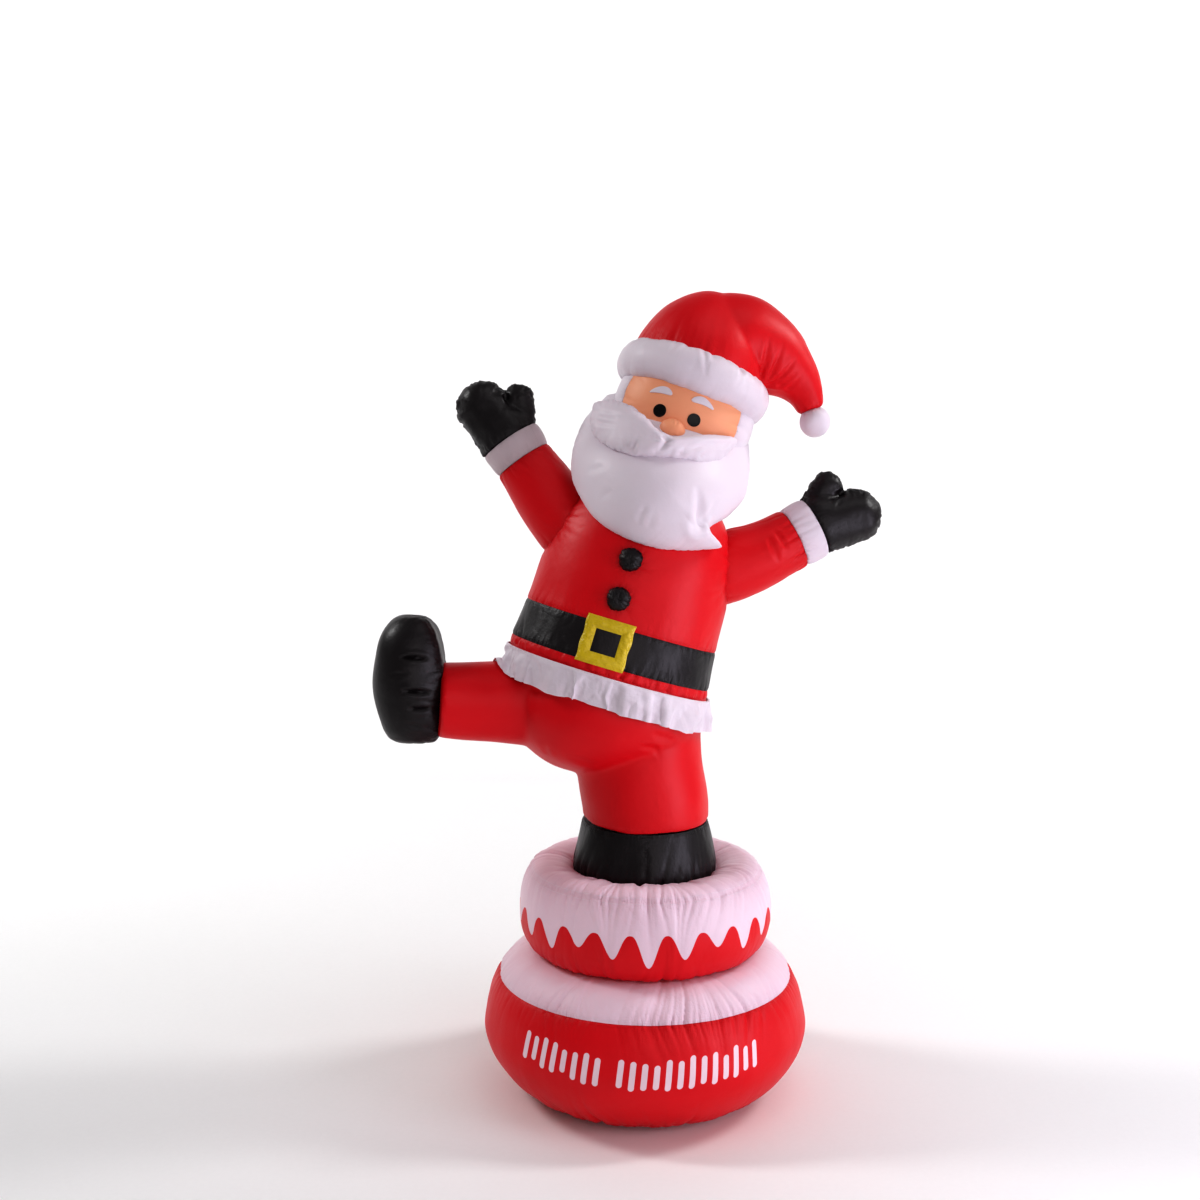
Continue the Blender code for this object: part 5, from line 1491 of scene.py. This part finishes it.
def buildStitches():
    lower, upper = lowerTier, upperTier
    lowerSeam, upperSeam = lower["seamHeight"], lower["seamHeight"] + lower["domeRise"] + upper["seamRise"]
    waist = trunk["hem"] + trunk["belt"]

    def onTrunk(rise, radius):
        return placed(trunkRing(rise, radius, 300), trunkSpace)

    ankle = placed(ringAt(legs["topRadius"] + 0.001, legs["bootHeight"] - 0.007, 200), figureSpace)
    stitches("redStitches", [
        (ringAt(lower["seamRadius"] + 0.002, lowerSeam - 0.005, 400), "lowerTierSide"),
        (onTrunk(waist + 0.006, trunkRadius(waist) + 0.001), "jacketBody")], "red")
    stitches("whiteStitches", [
        (ringAt(lower["seamRadius"] - 0.004, lowerSeam + 0.006, 400), "lowerTierTop"),
        (ringAt(upper["seamRadius"] + 0.001, upperSeam - 0.006, 400), "icing"),
        (ringAt(upper["seamRadius"] - 0.007, upperSeam + 0.005, 400), "icing")], "white")
    stitches("blackStitches", [
        (onTrunk(waist - 0.006, trunkRadius(waist) + 0.001), "beltBand"),
        (onTrunk(trunk["hem"] + 0.006, trunkRadius(trunk["hem"])), "beltBand"),
        (ankle, "standingBoot")], "black")
    stitches("yellowStitches", [(buckleSquare(), "bucklePatch")], "yellow")


buildStitches()

# Floor, backdrop, lights and camera

studio = {"floor": (0.90, 0.90, 0.90, 1), "grain": (0.87, 0.87, 0.87, 1), "halfWidth": 9.0,
          "sweep": ((-7.0, 0.0), (1.6, 0.0), (2.9, 0.16), (4.0, 0.75), (4.9, 2.0), (5.4, 3.9), (5.6, 6.0)),
          "world": (1.0, 0.99, 0.99, 1), "worldPower": 0.20, "camera": (-0.103, -3.296, 1.4935),
          "pitch": 6.6, "focal": 1481.0, "picture": 1200.0, "sensor": 36.0}
lights = {
    "window": {"place": (2.5, -1.5, 0.7), "target": (0, 0, 0.65), "size": (1.2, 2.0), "power": 30,
               "colour": (0.90, 0.86, 1.0)},
    "overhead": {"place": (0.9, -1.0, 4.2), "target": (0, 0.1, 0.6), "size": (2.0, 1.6), "power": 9,
                 "colour": (1.0, 0.98, 1.0)},
    "front": {"place": (0.9, -3.9, 1.8), "target": (0, 0, 0.9), "size": (3.2, 2.8), "power": 26,
              "colour": (1.0, 0.94, 0.97)},
    "backdropLeft": {"place": (-4.5, 0.8, 4.4), "target": (-1.5, 5.2, 1.5), "size": (1.6, 1.6), "power": 150,
                     "colour": (1.0, 1.0, 1.0)},
    "backdropRight": {"place": (4.5, 0.8, 4.4), "target": (1.5, 5.2, 1.5), "size": (1.6, 1.6), "power": 150,
                      "colour": (1.0, 1.0, 1.0)},
}


def buildStage():
    rows = profile(studio["sweep"], 0.1)
    mesh = bpy.data.meshes.new("backdrop")
    points = [(x, y, z) for y, z in rows for x in (-studio["halfWidth"], studio["halfWidth"])]
    faces = [(2 * i, 2 * i + 1, 2 * i + 3, 2 * i + 2) for i in range(len(rows) - 1)]
    mesh.from_pydata(points, [], faces)
    mesh.shade_smooth()
    backdrop = linked("backdrop", mesh)
    shop = Shop("paper")
    place = shop.node("ShaderNodeTexCoord", {}, {}).outputs["Object"]
    grain = shop.noise(place, 90.0, 3.0)
    shop.feed(shop.shader.inputs["Base Color"], shop.mix(grain, studio["floor"], studio["grain"]))
    shop.shader.inputs["Roughness"].default_value = 0.8
    shop.shader.inputs["Specular IOR Level"].default_value = 0.1
    mesh.materials.append(shop.material)


def addLight(name, settings):
    light = bpy.data.lights.new(name, "AREA")
    light.shape = "RECTANGLE"
    light.size, light.size_y = settings["size"]
    light.energy, light.color = settings["power"], settings["colour"]
    thing = linked(name, light)
    thing.location = settings["place"]
    way = Vector(settings["target"]) - Vector(settings["place"])
    thing.rotation_euler = way.to_track_quat("-Z", "Y").to_euler()


def buildStudio():
    buildStage()
    for name, settings in lights.items():
        addLight(name, settings)
    world = bpy.data.worlds.new("room")
    world.use_nodes = True
    background = world.node_tree.nodes["Background"]
    background.inputs["Color"].default_value = studio["world"]
    background.inputs["Strength"].default_value = studio["worldPower"]
    scene = bpy.context.scene
    scene.world = world
    scene.view_settings.view_transform = "Standard"
    scene.view_settings.look = "High Contrast"
    lens = bpy.data.cameras.new("camera")
    lens.sensor_width = studio["sensor"]
    lens.lens = studio["focal"] / studio["picture"] * studio["sensor"]
    camera = linked("camera", lens)
    camera.location = studio["camera"]
    camera.rotation_euler = (math.radians(90 - studio["pitch"]), 0, 0)
    scene.camera = camera


buildStudio()
print("studio ready")
